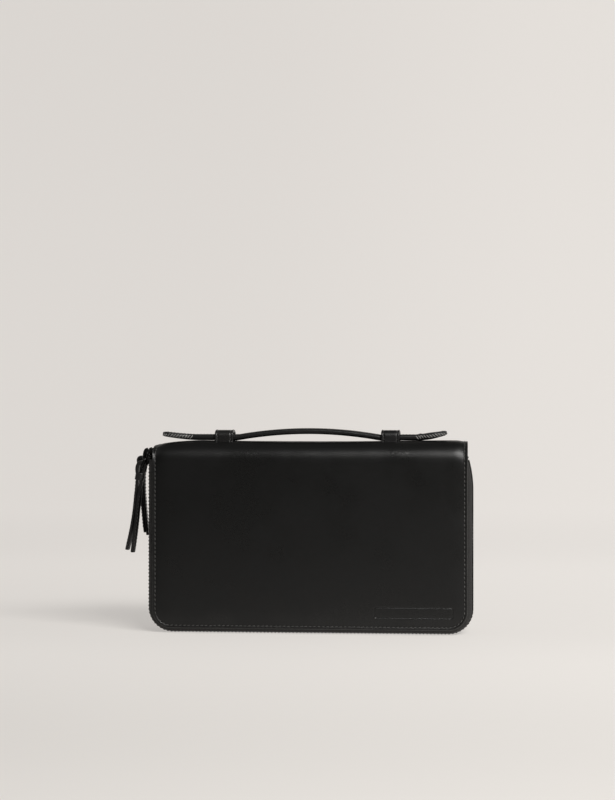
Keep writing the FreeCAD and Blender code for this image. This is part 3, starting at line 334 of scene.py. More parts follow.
def buildDust():
    # faint dust: fine specks, more of them on surfaces that face up
    tree, given, out = newGroup("fineDust", {"Amount": 0.2}, ("Mask",))
    specks = noise(tree, given["Vector"], 900.0, 3.0, 0.8)
    facing = addNode(tree, "SeparateXYZ", {0: addNode(tree, "NewGeometry").outputs["Normal"]})
    share = remap(tree, facing.outputs[2], -0.2, 1.0, 0.25, 1.0)
    found = calc(tree, "MULTIPLY", remap(tree, specks.outputs["Fac"], 0.6, 0.78), share)
    setInputs(tree, out, {"Mask": calc(tree, "MULTIPLY", found, given["Amount"], clamp=True)})
    return tree


grainGroup, rubGroup, weaveGroup, dustGroup = buildGrain(), buildWear(), buildWeave(), buildDust()


def newMaterial(name):
    material = bpy.data.materials.new(name)
    material.use_nodes = True
    tree = material.node_tree
    shader = next(n for n in tree.nodes if n.type == "BSDF_PRINCIPLED")
    coords = addNode(tree, "TexCoord").outputs
    return material, tree, shader, coords


def placeGroup(tree, group, values):
    node = tree.nodes.new("ShaderNodeGroup")
    node.node_tree = group
    setInputs(tree, node, values)
    return node.outputs


def finishShader(tree, shader, colour, rough, height, strength, distance):
    bump = addNode(tree, "Bump", {"Height": height, "Strength": strength, "Distance": distance})
    setInputs(tree, shader, {"Base Color": colour, "Roughness": rough, "Normal": bump.outputs[0]})


def leatherFinish(name, look):
    material, tree, shader, coords = newMaterial(name)
    place = {"Vector": coords["Object"]}
    grain = placeGroup(tree, grainGroup, {**place, "Cells": look["cells"], "Folds": look["folds"]})
    near = addNode(tree, "Attribute", attribute_name="edgeNear").outputs["Fac"]
    rub = placeGroup(tree, rubGroup, {**place, "Edge": near, "Amount": look["rub"]})
    dust = placeGroup(tree, dustGroup, {**place, "Amount": look["dust"]})
    colour = mixColour(tree, grain["Tone"], look["dark"], look["light"])
    colour = mixColour(tree, rub["Mask"], colour, look["rubbed"])
    colour = mixColour(tree, dust["Mask"], colour, look["dusty"])
    rough = remap(tree, grain["Shine"], 0.0, 1.0, look["roughHigh"], look["roughLow"])
    finishShader(tree, shader, colour, rough, grain["Height"], look["bump"], look["depth"])
    shader.inputs["Specular IOR Level"].default_value = look["specular"]
    return material


def clothFinish(name, look):
    material, tree, shader, coords = newMaterial(name)
    lay = {"Vector": coords["UV"], "Thread": look["thread"], "Twill": look["twill"]}
    weave = placeGroup(tree, weaveGroup, lay)
    dust = placeGroup(tree, dustGroup, {"Vector": coords["Object"], "Amount": look["dust"]})
    colour = mixColour(tree, weave["Over"], look["warp"], look["weft"])
    # painted shade: the colour falls to the gap colour where each thread rounds down beside its neighbours
    shade = calc(tree, "MULTIPLY", weave["Height"], remap(tree, weave["Fuzz"], 0.3, 0.7, 0.75, 1.0))
    colour = mixColour(tree, shade, look["gap"], colour)
    colour = mixColour(tree, dust["Mask"], colour, look["dusty"])
    rough = remap(tree, weave["Height"], 0.0, 1.0, 0.95, look["rough"])
    finishShader(tree, shader, colour, rough, weave["Height"], look["bump"], look["depth"])
    shader.inputs["Specular IOR Level"].default_value = look["specular"]
    return material


def metalFinish(name, look):
    # blackened metal: a dark plating with cloudy polish and fine scratches
    material, tree, shader, coords = newMaterial(name)
    cloud = noise(tree, coords["Object"], 340.0, 3.0).outputs["Fac"]
    stretch = addNode(tree, "Mapping", {"Vector": coords["Object"], "Scale": (1.0, 1.0, 0.12)})
    scratch = noise(tree, stretch.outputs[0], 4200.0, 2.0).outputs["Fac"]
    mark = calc(tree, "MULTIPLY_ADD", scratch, 0.35, calc(tree, "MULTIPLY", cloud, 0.65))
    rough = remap(tree, mark, 0.3, 0.7, look["roughLow"], look["roughHigh"])
    colour = mixColour(tree, cloud, look["dark"], look["light"])
    finishShader(tree, shader, colour, rough, scratch, 0.25, 0.00004)
    shader.inputs["Metallic"].default_value = look["metallic"]
    return material


def threadFinish(name, look):
    # waxed thread: a twist along each stitch, the sine of the sum of its own two map directions; the colour goes from
    # the dark tone in the grooves of the twist to the light tone on its crests, painted shade in the grooves and a
    # painted highlight on the crests
    material, tree, shader, coords = newMaterial(name)
    axes = addNode(tree, "SeparateXYZ", {0: coords["UV"]})
    around = calc(tree, "MULTIPLY", axes.outputs[1], look["twist"])
    lay = calc(tree, "MULTIPLY_ADD", axes.outputs[0], look["twist"], around)
    plyAndHighlight = calc(tree, "ABSOLUTE", calc(tree, "SINE", lay))
    rough = remap(tree, plyAndHighlight, 0.0, 1.0, 0.7, look["rough"])
    # painted highlight on the crests of the twist and painted shade in its grooves, laid over the thread's own colour
    finishShader(tree, shader, mixColour(tree, plyAndHighlight, look["dark"], look["light"]), rough, plyAndHighlight, 0.5, 0.00008)
    return material


outerLook = {
    "dark": (0.0031, 0.0031, 0.0030, 1), "light": (0.0056, 0.0056, 0.0053, 1),
    "rubbed": (0.035, 0.034, 0.032, 1), "dusty": (0.05, 0.048, 0.045, 1),
    "cells": 1250.0, "folds": 34.0, "rub": 0.35, "dust": 0.18,
    "roughLow": 0.27, "roughHigh": 0.40, "specular": 0.41, "bump": 0.3, "depth": 0.00010,
}
strapLook = {
    **outerLook, "light": (0.013, 0.0125, 0.012, 1),
    "cells": 1500.0, "rub": 0.5, "roughLow": 0.28, "roughHigh": 0.42,
}
pocketLook = {
    **outerLook, "dark": (0.008, 0.0078, 0.0075, 1), "light": (0.02, 0.0195, 0.0186, 1),
    "cells": 1700.0, "roughLow": 0.4, "roughHigh": 0.56,
}
paintLook = {
    **outerLook, "dark": (0.016, 0.0155, 0.015, 1), "light": (0.028, 0.027, 0.026, 1),
    "cells": 3200.0, "roughLow": 0.3, "roughHigh": 0.45, "specular": 0.5, "bump": 0.2,
}
# the gap colour of each cloth is painted shade between its threads
liningLook = {
    "warp": (0.058, 0.058, 0.061, 1), "weft": (0.036, 0.036, 0.039, 1),
    "gap": (0.006, 0.006, 0.007, 1), "dusty": (0.12, 0.12, 0.115, 1),
    "thread": 0.42, "twill": 2.0, "dust": 0.15, "rough": 0.62, "specular": 0.3, "bump": 0.6, "depth": 0.00012,
}
tapeLook = {
    "warp": (0.062, 0.060, 0.058, 1), "weft": (0.036, 0.035, 0.034, 1),
    "gap": (0.004, 0.004, 0.004, 1), "dusty": (0.1, 0.098, 0.094, 1),
    "thread": 0.62, "twill": 1.0, "dust": 0.2, "rough": 0.6, "specular": 0.35, "bump": 0.9, "depth": 0.00022,
}
toothLook = {
    "dark": (0.012, 0.012, 0.012, 1), "light": (0.045, 0.044, 0.043, 1),
    "metallic": 0.85, "roughLow": 0.26, "roughHigh": 0.48,
}
sliderLook = {
    "dark": (0.010, 0.010, 0.010, 1), "light": (0.03, 0.029, 0.028, 1),
    "metallic": 0.9, "roughLow": 0.2, "roughHigh": 0.36,
}
# the light tone of each thread is the painted highlight on the crests of its twist
blackLook = {"dark": (0.018, 0.018, 0.0175, 1), "light": (0.09, 0.088, 0.084, 1), "twist": 5.5, "rough": 0.35}
greyLook = {"dark": (0.05, 0.049, 0.047, 1), "light": (0.46, 0.45, 0.43, 1), "twist": 5.5, "rough": 0.5}
paleLook = {**greyLook, "dark": (0.16, 0.155, 0.15, 1)}
outerLeather = leatherFinish("outerLeather", outerLook)
strapLeather = leatherFinish("strapLeather", strapLook)
pocketLeather = leatherFinish("pocketLeather", pocketLook)
edgePaint = leatherFinish("edgePaint", paintLook)
liningCloth = clothFinish("liningCloth", liningLook)
tapeCloth = clothFinish("tapeCloth", tapeLook)
toothMetal = metalFinish("toothMetal", toothLook)
sliderMetal = metalFinish("sliderMetal", sliderLook)
blackThread = threadFinish("blackThread", blackLook)
greyThread = threadFinish("greyThread", greyLook)
paleThread = threadFinish("paleThread", paleLook)
print("materials made")

# sheets: an upper and an under surface that meet in a rolled edge

edgeSteps = np.array([
    0, 0.03, 0.12, 0.28, 0.5, 0.75, 1.05, 1.35, 1.65, 1.95, 2.2,
    2.45, 2.7, 2.95, 3.2, 3.5, 3.9, 4.5, 5.4, 6.8, 9, 12,
])


def spread(values, gap):
    values = np.sort(values)
    return values[np.concatenate([[True], np.diff(values) > gap])]


def panelGrid(halfWidth, length, lowRadius, highRadius, step, extraX=(), extraV=()):
    # x across and v upwards over a panel with rounded corners, and d, each point's distance from its edge;
    # a high radius of None leaves the upper edge open

    def cornerRows(radius):
        turn = np.linspace(0, math.pi / 2, max(6, int(radius * 2.6)))
        return [radius * (1 - np.cos(turn)), edgeSteps[edgeSteps < length / 2]]

    rows = cornerRows(lowRadius) + [np.arange(lowRadius, length, step), extraV]
    rows += [[length]] if highRadius is None else [length - heights for heights in cornerRows(highRadius)]
    v = spread(np.concatenate(rows), 0.012)
    v = v[(v >= 0) & (v <= length)]
    v[0], v[-1] = 0, length
    edges = edgeSteps[edgeSteps < halfWidth * 0.9]
    columns = [-halfWidth + edges, halfWidth - edges, np.arange(-halfWidth, halfWidth, step), extraX]
    x = spread(np.concatenate(columns), 0.012)
    x[0], x[-1] = -halfWidth, halfWidth

    def inset(height, radius):
        rise = np.clip(radius - height, 0, radius)
        return radius - np.sqrt(np.maximum(radius**2 - rise**2, 0))

    pull = inset(v, lowRadius)
    if highRadius is not None:
        pull = pull + inset(length - v, highRadius)
    x, v = np.meshgrid(x, v)
    x = x * (1 - pull[:, None] / halfWidth)
    side = halfWidth - np.abs(x)

    def cornerDistance(height, radius):
        inCorner = (side < radius) & (height < radius)
        return np.where(inCorner, radius - np.hypot(radius - side, radius - height), np.minimum(side, height))

    d = cornerDistance(v, lowRadius)
    if highRadius is not None:
        d = np.minimum(d, cornerDistance(length - v, highRadius))
    d = np.maximum(d, 0)
    d[0] = 0
    d[:, 0] = d[:, -1] = 0
    if highRadius is not None:
        d[-1] = 0
    return x, v, d


def bell(values, at, wide):
    # e raised to minus the square of the distance from at over the width
    return np.exp(-(((values - at) / wide) ** 2))


def sheetShape(grid, place, thickness, depth=None, back=None, paint=0.35, rubWidth=1.1):
    # the edge is a half round of the sheet's own thickness: lift is half the thickness times the height of a
    # circle at that distance in; depth and back push the two surfaces in
    x, v, d = grid
    half = thickness / 2
    roll = half * np.sqrt(np.clip(1 - (1 - np.minimum(d, half) / half) ** 2, 0, 1))
    fade = np.clip(d / half, 0, 1)
    outer = place(x, v, roll - (0 if depth is None else depth(x, v, d) * fade))
    inner = place(x, v, -roll + (0 if back is None else back(x, v, d) * fade))
    shapes = [gridShape(surface, edge=bell(d, 0, rubWidth)) for surface in (outer, inner)]
    mean = (d[:-1, :-1] + d[:-1, 1:] + d[1:, 1:] + d[1:, :-1]).reshape(-1) / 4
    for shape in shapes:
        shape["materials"] = (mean < paint).astype(int)
    if d[-1].max() > half:
        shapes.append(gridShape(np.stack([outer[-1], inner[-1]])))
    return joinShapes(shapes)


# the wrap: a hide from the lower edge of each cover, up round the shoulder and over the spine to its middle

wrapSizes = {
    "overhang": 0.8, "corner": 13.0, "step": 3.6, "bendLength": 12.0,
    "stitchIn": 2.05, "grooveDeep": 0.34, "grooveWide": 0.5,
    "endRoll": 1.2, "endRollWide": 3.4, "droop": 2.8, "droopLong": 32.0, "sag": 1.1,
    "puff": 0.75, "puffReach": 4.5, "wave": 0.05, "shoulderWave": 0.09, "shoulderLong": 9.0,
    "pleat": 0.2, "pleatIn": 6.5, "pleatWide": 3.2, "pleatLong": 8.0,
    "frameMiddle": (71.9, 15.35), "frameHalf": (26.8, 3.5), "frameCorner": 1.2,
    "frameDeep": 0.36, "frameWide": 0.34,
}
coverLow, coverHigh = nodeBox("front_cover_leather")
spineLow, spineHigh = nodeBox("spine_leather")
coverHalf = coverHigh[0]
coverBase = coverLow[2]
coverDeep = spineHigh[1]
foldHeight = spineLow[2]
spineTop = spineHigh[2]
shoulderRadius = spineTop - foldHeight
hideThick = coverHigh[1] - coverLow[1]
thread = {"pitch": 3.0, "length": 2.1, "radius": 0.32, "slant": 7}
fineThread = {"pitch": 2.4, "length": 1.6, "radius": 0.2, "slant": 7}


def foldProfile(outside, base, radius, top):
    # distance run, depth, height and outward direction up a cover, round its shoulder and in to the middle
    height = np.linspace(base, foldHeight, 44)
    bend = np.linspace(0, math.pi / 2, 19)[1:]
    flat = np.linspace(outside - radius, 0, 6)[1:]
    y = np.concatenate([np.full(44, outside), outside - radius + radius * np.cos(bend), flat])
    z = np.concatenate([height, foldHeight + radius * np.sin(bend), np.full(5, top)])
    ny = np.concatenate([np.ones(44), np.cos(bend), np.zeros(5)])
    nz = np.concatenate([np.zeros(44), np.sin(bend), np.ones(5)])
    return runAlong(np.stack([y, z], axis=1)), y, z, ny, nz


def foldPlace(side, profile, sag):
    # side is -1 on the front and 1 on the back; the spine sags as a parabola along its length and droops
    # with a power of the distance at its left end
    run, y, z, ny, nz = profile
    droopFrom = coverHalf - wrapSizes["droopLong"]

    def place(x, v, lift):
        out, up = np.interp(v, run, ny), np.interp(v, run, nz)
        size = np.hypot(out, up)
        drop = sag * np.clip(1 - (x / coverHalf) ** 2, 0, 1)
        drop = drop + wrapSizes["droop"] * np.clip((-x - droopFrom) / wrapSizes["droopLong"], 0, 1) ** 1.6
        depth = side * (np.interp(v, run, y) + lift * out / size)
        return np.stack([x, depth, np.interp(v, run, z) + lift * up / size - drop * up**2], axis=-1)

    return place


def foldNormal(side, profile, v):
    out, up = (np.interp(v, profile[0], values) for values in profile[3:])
    return unit(np.stack([np.zeros_like(v), side * out, up], axis=-1))


def foldBend(side, coverBody):
    # the spine, a cover's body and two points, at the fold and the bend's length below it; makePiece reads only that
    # they are given, so nothing bends here
    start = (0, side * coverDeep, foldHeight)
    return "spine", coverBody, start, (0, side * coverDeep, foldHeight - wrapSizes["bendLength"])


def edgeLine(halfWidth, length, radius, inset):
    # the line inside a panel's edge: down the left side, round the lower corners and up the right
    turn = np.linspace(math.pi, 1.5 * math.pi, 16)
    x = np.concatenate([[inset - halfWidth], radius - halfWidth + (radius - inset) * np.cos(turn)])
    v = np.concatenate([[length], radius + (radius - inset) * np.sin(turn)])
    return np.concatenate([x, -x[::-1]]), np.concatenate([v, v[::-1]])


def fineLine(x, v, step=1.0):
    run = runAlong(np.stack([x, v], axis=1))
    at = np.linspace(0, run[-1], int(run[-1] / step) + 1)
    return np.interp(at, run, x), np.interp(at, run, v)


def makeWrap(side, name, coverBody, replaced, framed):
    sizes = wrapSizes
    radius = shoulderRadius - hideThick / 2
    profile = foldProfile(coverDeep - hideThick / 2, coverBase, radius, spineTop - hideThick / 2)
    length = profile[0][-1]
    place = foldPlace(side, profile, sizes["sag"])
    shoulderAt = foldHeight - coverBase + radius * math.pi / 4
    (cx, cz), (halfLong, halfTall), corner = sizes["frameMiddle"], sizes["frameHalf"], sizes["frameCorner"]
    extraX = np.arange(cx - halfLong - 2, cx + halfLong + 2, 0.55) if framed else ()
    extraV = np.arange(cz - halfTall - 2, cz + halfTall + 2, 0.3) - coverBase if framed else ()
    half = coverHalf + sizes["overhang"]
    grid = panelGrid(half, length, sizes["corner"], None, sizes["step"], extraX, extraV)

    def depth(x, v, d):
        # a stitch groove along the edge, fullness behind it, slow waves, a roll and small pleats where the
        # hide turns the shoulder, and the blank frame pressed into the front
        turnShare = bell(v, shoulderAt, sizes["shoulderLong"])
        full = 1 - np.exp(-((np.clip(d - sizes["stitchIn"], 0, None) / sizes["puffReach"]) ** 1.3))
        deep = sizes["grooveDeep"] * bell(d, sizes["stitchIn"], sizes["grooveWide"]) - sizes["puff"] * full
        deep = deep + sizes["wave"] * full * (np.sin(x / 15 + v / 21) + np.sin(x / 27 - v / 12 + 1.3))
        wave = np.sin(x / 5.3 + v / 4) * np.sin(x / 9.1 - v / 7)
        deep = deep + sizes["shoulderWave"] * full * turnShare * wave
        deep = deep + turnShare * sizes["endRoll"] * bell(d, sizes["stitchIn"] - 0.6, sizes["endRollWide"])
        pleat = bell(d, sizes["pleatIn"], sizes["pleatWide"]) * bell(v, shoulderAt, sizes["pleatLong"])
        deep = deep + sizes["pleat"] * pleat * np.cos((v + 0.35 * d) / 1.5)
        if framed:
            # the distance to a rectangle with round corners
            qx = np.abs(x - cx) - halfLong + corner
            qz = np.abs(v + coverBase - cz) - halfTall + corner
            gap = np.hypot(np.maximum(qx, 0), np.maximum(qz, 0)) + np.minimum(np.maximum(qx, qz), 0) - corner
            deep = deep + sizes["frameDeep"] * bell(gap, 0, sizes["frameWide"])
        return deep

    bend = foldBend(side, coverBody)
    sheet = sheetShape(grid, place, hideThick, depth)
    makePiece(name, [sheet], [outerLeather, edgePaint], blend=bend, replaced=replaced)
    x, v = fineLine(*edgeLine(half, length, sizes["corner"], sizes["stitchIn"]))
    deep = sizes["grooveDeep"] + sizes["endRoll"] * bell(v, shoulderAt, sizes["shoulderLong"])
    line = place(x, v, hideThick / 2 - deep + thread["radius"] * 0.9)
    row = stitches(line, foldNormal(side, profile, v), thread)
    makePiece(name + "Stitches", [row], [blackThread], blend=bend)


frontReplaced = ("front_cover_leather", "spine_leather", "spine_stiffener", "front_cover_stiffener")
makeWrap(-1, "frontWrap", "front_cover", frontReplaced, True)
makeWrap(1, "backWrap", "back_cover", ("back_cover_leather", "back_cover_stiffener"), False)
print("hide wrap made")

# lining

liningSizes = {"cornerLess": 1.5, "step": 4.5, "stitchIn": 2.0, "glueIn": 3.0, "hollow": 0.12, "wave": 0.04}
liningLow, liningHigh = nodeBox("front_cover_lining")
spineLiningTop = nodeBox("spine_lining")[1][2]


def makeLining(side, name, coverBody, replaced):
    sizes = liningSizes
    thick = liningHigh[1] - liningLow[1]
    top = spineLiningTop - thick / 2
    profile = foldProfile(-liningLow[1] - thick / 2, liningLow[2], top - foldHeight, top)
    place = foldPlace(side, profile, wrapSizes["sag"])
    corner = wrapSizes["corner"] - sizes["cornerLess"]
    grid = panelGrid(liningHigh[0], profile[0][-1], corner, None, sizes["step"])

    def back(x, v, d):
        # a soft hollow between the glued edge and the middle of the cloth
        wave = sizes["wave"] * np.sin(x / 13 + v / 9) * np.clip(d / 8, 0, 1)
        return sizes["hollow"] * bell(d, sizes["glueIn"], 0.6) + wave

    bend = foldBend(side, coverBody)
    sheet = sheetShape(grid, place, thick, None, back, paint=0.0)
    makePiece(name, [sheet], [liningCloth, edgePaint], blend=bend, replaced=replaced)
    x, v = fineLine(*edgeLine(liningHigh[0], profile[0][-1], corner, sizes["stitchIn"]))
    line = place(x, v, np.full_like(x, -thick / 2 - 0.02))
    row = stitches(line, -foldNormal(side, profile, v), fineThread)
    makePiece(name + "Stitches", [row], [blackThread], blend=bend)


makeLining(-1, "frontLining", "front_cover", ("front_cover_lining", "spine_lining"))
makeLining(1, "backLining", "back_cover", ("back_cover_lining",))

# panels and pockets inside

pocketSizes = {"hem": 3.2, "hemDeep": 0.12, "stitchIn": 1.8, "puff": 0.25, "low": 3.0, "high": 1.5}


def flatPanel(low, high, side, lowRadius, highRadius, hem=True, puff=0.0, step=4.0, stitched=True):
    # a leather panel over a box: full in the middle, with a turned hem along its upper edge
    halfWidth, length = (high[0] - low[0]) / 2, high[2] - low[2]
    thick = high[1] - low[1]
    grid = panelGrid(halfWidth, length, lowRadius, highRadius, step)

    def place(x, v, lift):
        middle = (low + high) / 2
        return np.stack([x + middle[0], middle[1] + side * lift, v + low[2]], axis=-1)

    def depth(x, v, d):
        full = np.clip((d - 2) / 10, 0, 1)
        deep = -puff * full * full * (3 - 2 * full) * 0.5
        return deep + pocketSizes["hemDeep"] * bell(length - v, pocketSizes["hem"], 0.4) if hem else deep

    rows = []
    if stitched:
        x, v = fineLine(*edgeLine(halfWidth, length - 1.2, max(lowRadius, 2.5), pocketSizes["stitchIn"]))
        rows.append(stitches(place(x, v, np.full_like(x, thick / 2 + 0.05)), [0, side, 0], fineThread))
    if hem:
        x = np.linspace(3 - halfWidth, halfWidth - 3, 30)
        line = place(x, np.full_like(x, length - pocketSizes["hem"]), np.full_like(x, thick / 2 - 0.02))
        rows.append(stitches(line, [0, side, 0], fineThread))
    return sheetShape(grid, place, thick, depth, paint=0.22, rubWidth=0.7), rows


def makePocket(name, node, body, side, stitched=True):
    sizes = pocketSizes
    low, high = nodeBox(node)
    shape, rows = flatPanel(low, high, side, sizes["low"], sizes["high"], puff=sizes["puff"], stitched=stitched)
    makePiece(name, [shape], [pocketLeather, edgePaint], body=body, replaced=[node])
    makePiece(name + "Stitches", rows, [blackThread], body=body)


for column in ("left", "right"):
    for number in (1, 2, 3, 4):
        name = f"cardSlot{column.title()}{number}"
        makePocket(name, f"card_slot_{column}_{number}", "front_cover", 1, number == 4)
makePocket("notePocket", "note_pocket", "spine", -1)
makePocket("passportPocket", "passport_pocket", "back_cover", -1)
makePocket("boardingPocket", "boarding_pass_pocket", "back_cover", -1)


leafSizes = {"high": 10.0, "step": 5.0, "coreStep": 6.0, "coreIn": (0.15, -0.05, 0.15)}


def makeLeaf(side, name, node):
    low, high = nodeBox(node)
    radii = (wrapSizes["corner"], leafSizes["high"])
    shape, rows = flatPanel(low, high, side, *radii, hem=False, step=leafSizes["step"])
    makePiece(name, [shape], [pocketLeather, edgePaint], body="spine", replaced=[node])
    makePiece(name + "Stitches", rows, [blackThread], body="spine")


def makeLeafCore():
    # the board between the leaf's two panels, its painted edge flush with them
    frontLow, frontHigh = nodeBox("divider_front_panel")
    backLow = nodeBox("divider_back_panel")[0]
    inwards = np.array(leafSizes["coreIn"])
    low = np.array([frontLow[0], frontHigh[1], frontLow[2]]) + inwards
    high = np.array([frontHigh[0], backLow[1], frontHigh[2]]) - inwards
    radii = (wrapSizes["corner"], leafSizes["high"])
    shape = flatPanel(low, high, 1, *radii, hem=False, step=leafSizes["coreStep"], stitched=False)[0]
    replaced = ["divider_stiffener"]
    makePiece("leafCore", [shape], [edgePaint, edgePaint], body="spine", replaced=replaced)


makeLeaf(-1, "leafFront", "divider_front_panel")
makeLeaf(1, "leafBack", "divider_back_panel")
makeLeafCore()

coinSizes = {"lap": 0.4, "endLap": 0.6, "seam": 1.2, "puff": 0.1, "corner": 3.0, "stitchIn": 1.8}


def makeCoinPocket():
    # four panels round the zip's opening, their seams beside the tape and round the edge
    sizes = coinSizes
    low, high = nodeBox("coin_pocket_panel")
    tapeLow, tapeHigh = nodeBox("coin_zip_tape")
    lap, endLap = sizes["lap"], sizes["endLap"]
    parts = [
        ((low[0], low[2]), (high[0], tapeLow[2] + lap), sizes["corner"]),
        ((low[0], tapeHigh[2] - lap), (high[0], high[2]), 1.5),
        ((low[0], tapeLow[2] - endLap), (tapeLow[0] + lap, tapeHigh[2] + endLap), 0.8),
        ((tapeHigh[0] - lap, tapeLow[2] - endLap), (high[0], tapeHigh[2] + endLap), 0.8),
    ]
    shapes = []
    for (x0, z0), (x1, z1), radius in parts:
        box = np.array([[x0, low[1], z0], [x1, high[1], z1]])
        shapes.append(flatPanel(*box, 1, radius, 0.8, hem=False, puff=sizes["puff"], stitched=False)[0])
    x = np.linspace(tapeLow[0] - 1, tapeHigh[0] + 1, 60)
    lines = [(x, np.full_like(x, z)) for z in (tapeLow[2] - sizes["seam"], tapeHigh[2] + sizes["seam"])]
    x, v = fineLine(*edgeLine(high[0], high[2] - low[2] - 1.5, sizes["corner"], sizes["stitchIn"]))
    lines.append((x, v + low[2]))
    lines = [np.stack([x, np.full_like(x, high[1] + 0.05), z], axis=1) for x, z in lines]
    rows = [stitches(line, backWay, fineThread) for line in lines]
    finishes, replaced = [pocketLeather, edgePaint], ["coin_pocket_panel"]
    makePiece("coinPocket", shapes, finishes, body="spine", replaced=replaced)
    makePiece("coinPocketStitches", rows, [blackThread], body="spine")


makeCoinPocket()
print("lining, leaf and pockets made")

# zip tapes: a beaded cloth strip carried down, round and up beside the teeth

zipSizes = {
    "low": 1.2, "radius": 16.0, "bendStart": 98.0, "bendRadius": 80.0, "half": coverHalf + 3.5, "depth": 9.0,
}
coverTape = np.array([
    (-9, 9.6), (-2, 9.6), (0.45, 6.6), (0.3, 5.0), (0.3, 0.7),
    (-0.3, 0.7), (-0.3, 5.1), (-0.2, 6.4), (-2.3, 8.8), (-9, 8.8),
])
leafTape = np.array([
    (-9, 7.6), (-0.6, 7.6), (0.45, 6.3), (0.3, 5.0), (0.3, 0.7),
    (-0.3, 0.7), (-0.3, 5.1), (-0.2, 6.1), (-0.9, 6.8), (-9, 6.8),
])


def zipLine(top):
    # down the left side, a quarter round, along the bottom, a quarter round, up and in along a wide arc
    half, low, radius = zipSizes["half"], zipSizes["low"], zipSizes["radius"]
    bend, start = zipSizes["bendRadius"], zipSizes["bendStart"]
    left = np.linspace(math.pi, 1.5 * math.pi, 22)
    right = np.linspace(1.5 * math.pi, 2 * math.pi, 22)
    turn = np.linspace(0, math.asin((top - start) / bend), 16)[1:]
    down = np.linspace(top, low + radius, 50)[:-1]
    across = np.linspace(radius - half, half - radius, 80)[1:-1]
    up = np.linspace(low + radius, start, 36)[1:]
    x = np.concatenate([
        np.full(49, -half), radius - half + radius * np.cos(left), across,
        half - radius + radius * np.cos(right), np.full(35, half), half - bend + bend * np.cos(turn),
    ])
    z = np.concatenate([
        down, low + radius + radius * np.sin(left), np.full(78, low),
        low + radius + radius * np.sin(right), up, start + bend * np.sin(turn),
    ])
    return np.stack([x, np.zeros_like(x), z], axis=1)


def softened(section):
    # corners cut at a quarter and three quarters of each side, twice over
    for cut in (1, 2):
        ahead = np.roll(section, -1, axis=0)
        pairs = [section * 0.75 + ahead * 0.25, section * 0.25 + ahead * 0.75]
        section = np.stack(pairs, axis=1).reshape(-1, 2)
    return section


def makeTape(name, node, body, side, section, toward):
    path = zipLine(nodeBox(node)[1][2])
    tangents = unit(np.gradient(path, axis=0))
    out = np.cross(backWay, tangents)
    path = path + backWay * side * zipSizes["depth"]
    profile = softened(section) * np.array([1, toward])
    tape = carry(path, out, backWay, profile)
    makePiece(name, [tape], [tapeCloth], body=body, replaced=[node])


for side, label in ((-1, "front"), (1, "back")):
    makeTape(f"{label}TapeCover", f"{label}_zip_tape_cover", f"{label}_cover", side, coverTape, side)
    makeTape(f"{label}TapeLeaf", f"{label}_zip_tape_divider", "spine", side, leafTape, -side)
print("zip tapes made")

# handle

handleSizes = {
    "halfWide": 6.0, "halfThick": 2.15, "middle": -1.5, "archRadius": 284.0, "archTop": 141.4, "lap": 0.5,
    "tailBase": 132.8, "tipThick": 1.75, "paddleHalf": 8.0, "paddleLong": 20.0, "paddleTurn": 8.0,
    "rimIn": 1.5, "rimDeep": 0.16, "seamDrop": 0.8, "seamSlant": 0.55,
}
tailSizes = {
    -1: {"tip": 137.4, "lifted": 24.5, "tackAt": 6.8, "tackLift": 1.0, "tackReach": (-0.1, 0.55)},
    1: {"tip": 138.4, "lifted": 21.5, "tackAt": 3.0, "tackLift": 1.22, "tackReach": (-0.6, 0.7)},
}
whipThread = {"slant": 52, "length": 3.6, "pitch": 2.0, "radius": 0.29}
tackThread = {**fineThread, "pitch": 1.5, "length": 1.3, "radius": 0.26}
frontTackThread = {**fineThread, "pitch": 1.3, "length": 1.1, "radius": 0.22}
archLow, archHigh = nodeBox("handle_arch")


def makeGrip(name, fromX, replaced):
    # the arch is a circle of wide radius; its strap is a padded oval, full on top and flatter below
    s = handleSizes
    x = np.linspace(fromX, s["middle"], 60)
    radius = s["archRadius"] - s["halfThick"]
    z = s["archTop"] - s["archRadius"] + np.sqrt(radius**2 - (x - s["middle"]) ** 2)
    path = np.stack([x, np.zeros_like(x), z], axis=1)
    lifts = np.cross(unit(np.gradient(path, axis=0)), backWay) * np.sign(x[-1] - x[0])
    section = ovalSection(s["halfWide"], s["halfThick"], 3.2, 40, 0.94)
    rim = np.abs(np.abs(section[:, 0]) - s["halfWide"] + s["rimIn"])
    section[:, 1] -= np.sign(section[:, 1]) * s["rimDeep"] * bell(rim, 0, 0.4)
    bend = ("spine", "handle_middle", (fromX * 0.9, 0, 135), (s["middle"] + math.copysign(6, fromX), 0, 135))
    strap = carry(path, backWay, lifts, section)
    makePiece(name, [strap], [strapLeather], blend=bend, replaced=replaced)
    rows = []
    for way in (-1, 1):
        line = path + backWay * way * (s["halfWide"] - 0.5) - lifts * s["seamDrop"]
        rows.append(stitches(line[2:-1], unit(backWay * way - lifts * s["seamSlant"])[2:-1], fineThread))
        top = path + backWay * way * (s["halfWide"] - s["rimIn"]) + lifts * (s["halfThick"] - 0.28)
        rows.append(stitches(top[2:-1], lifts[2:-1], fineThread))
    makePiece(name + "Stitches", rows, [blackThread], blend=bend)


makeGrip("gripLeft", archLow[0] - handleSizes["lap"], ["handle_arch"])
makeGrip("gripRight", archHigh[0] + handleSizes["lap"], [])


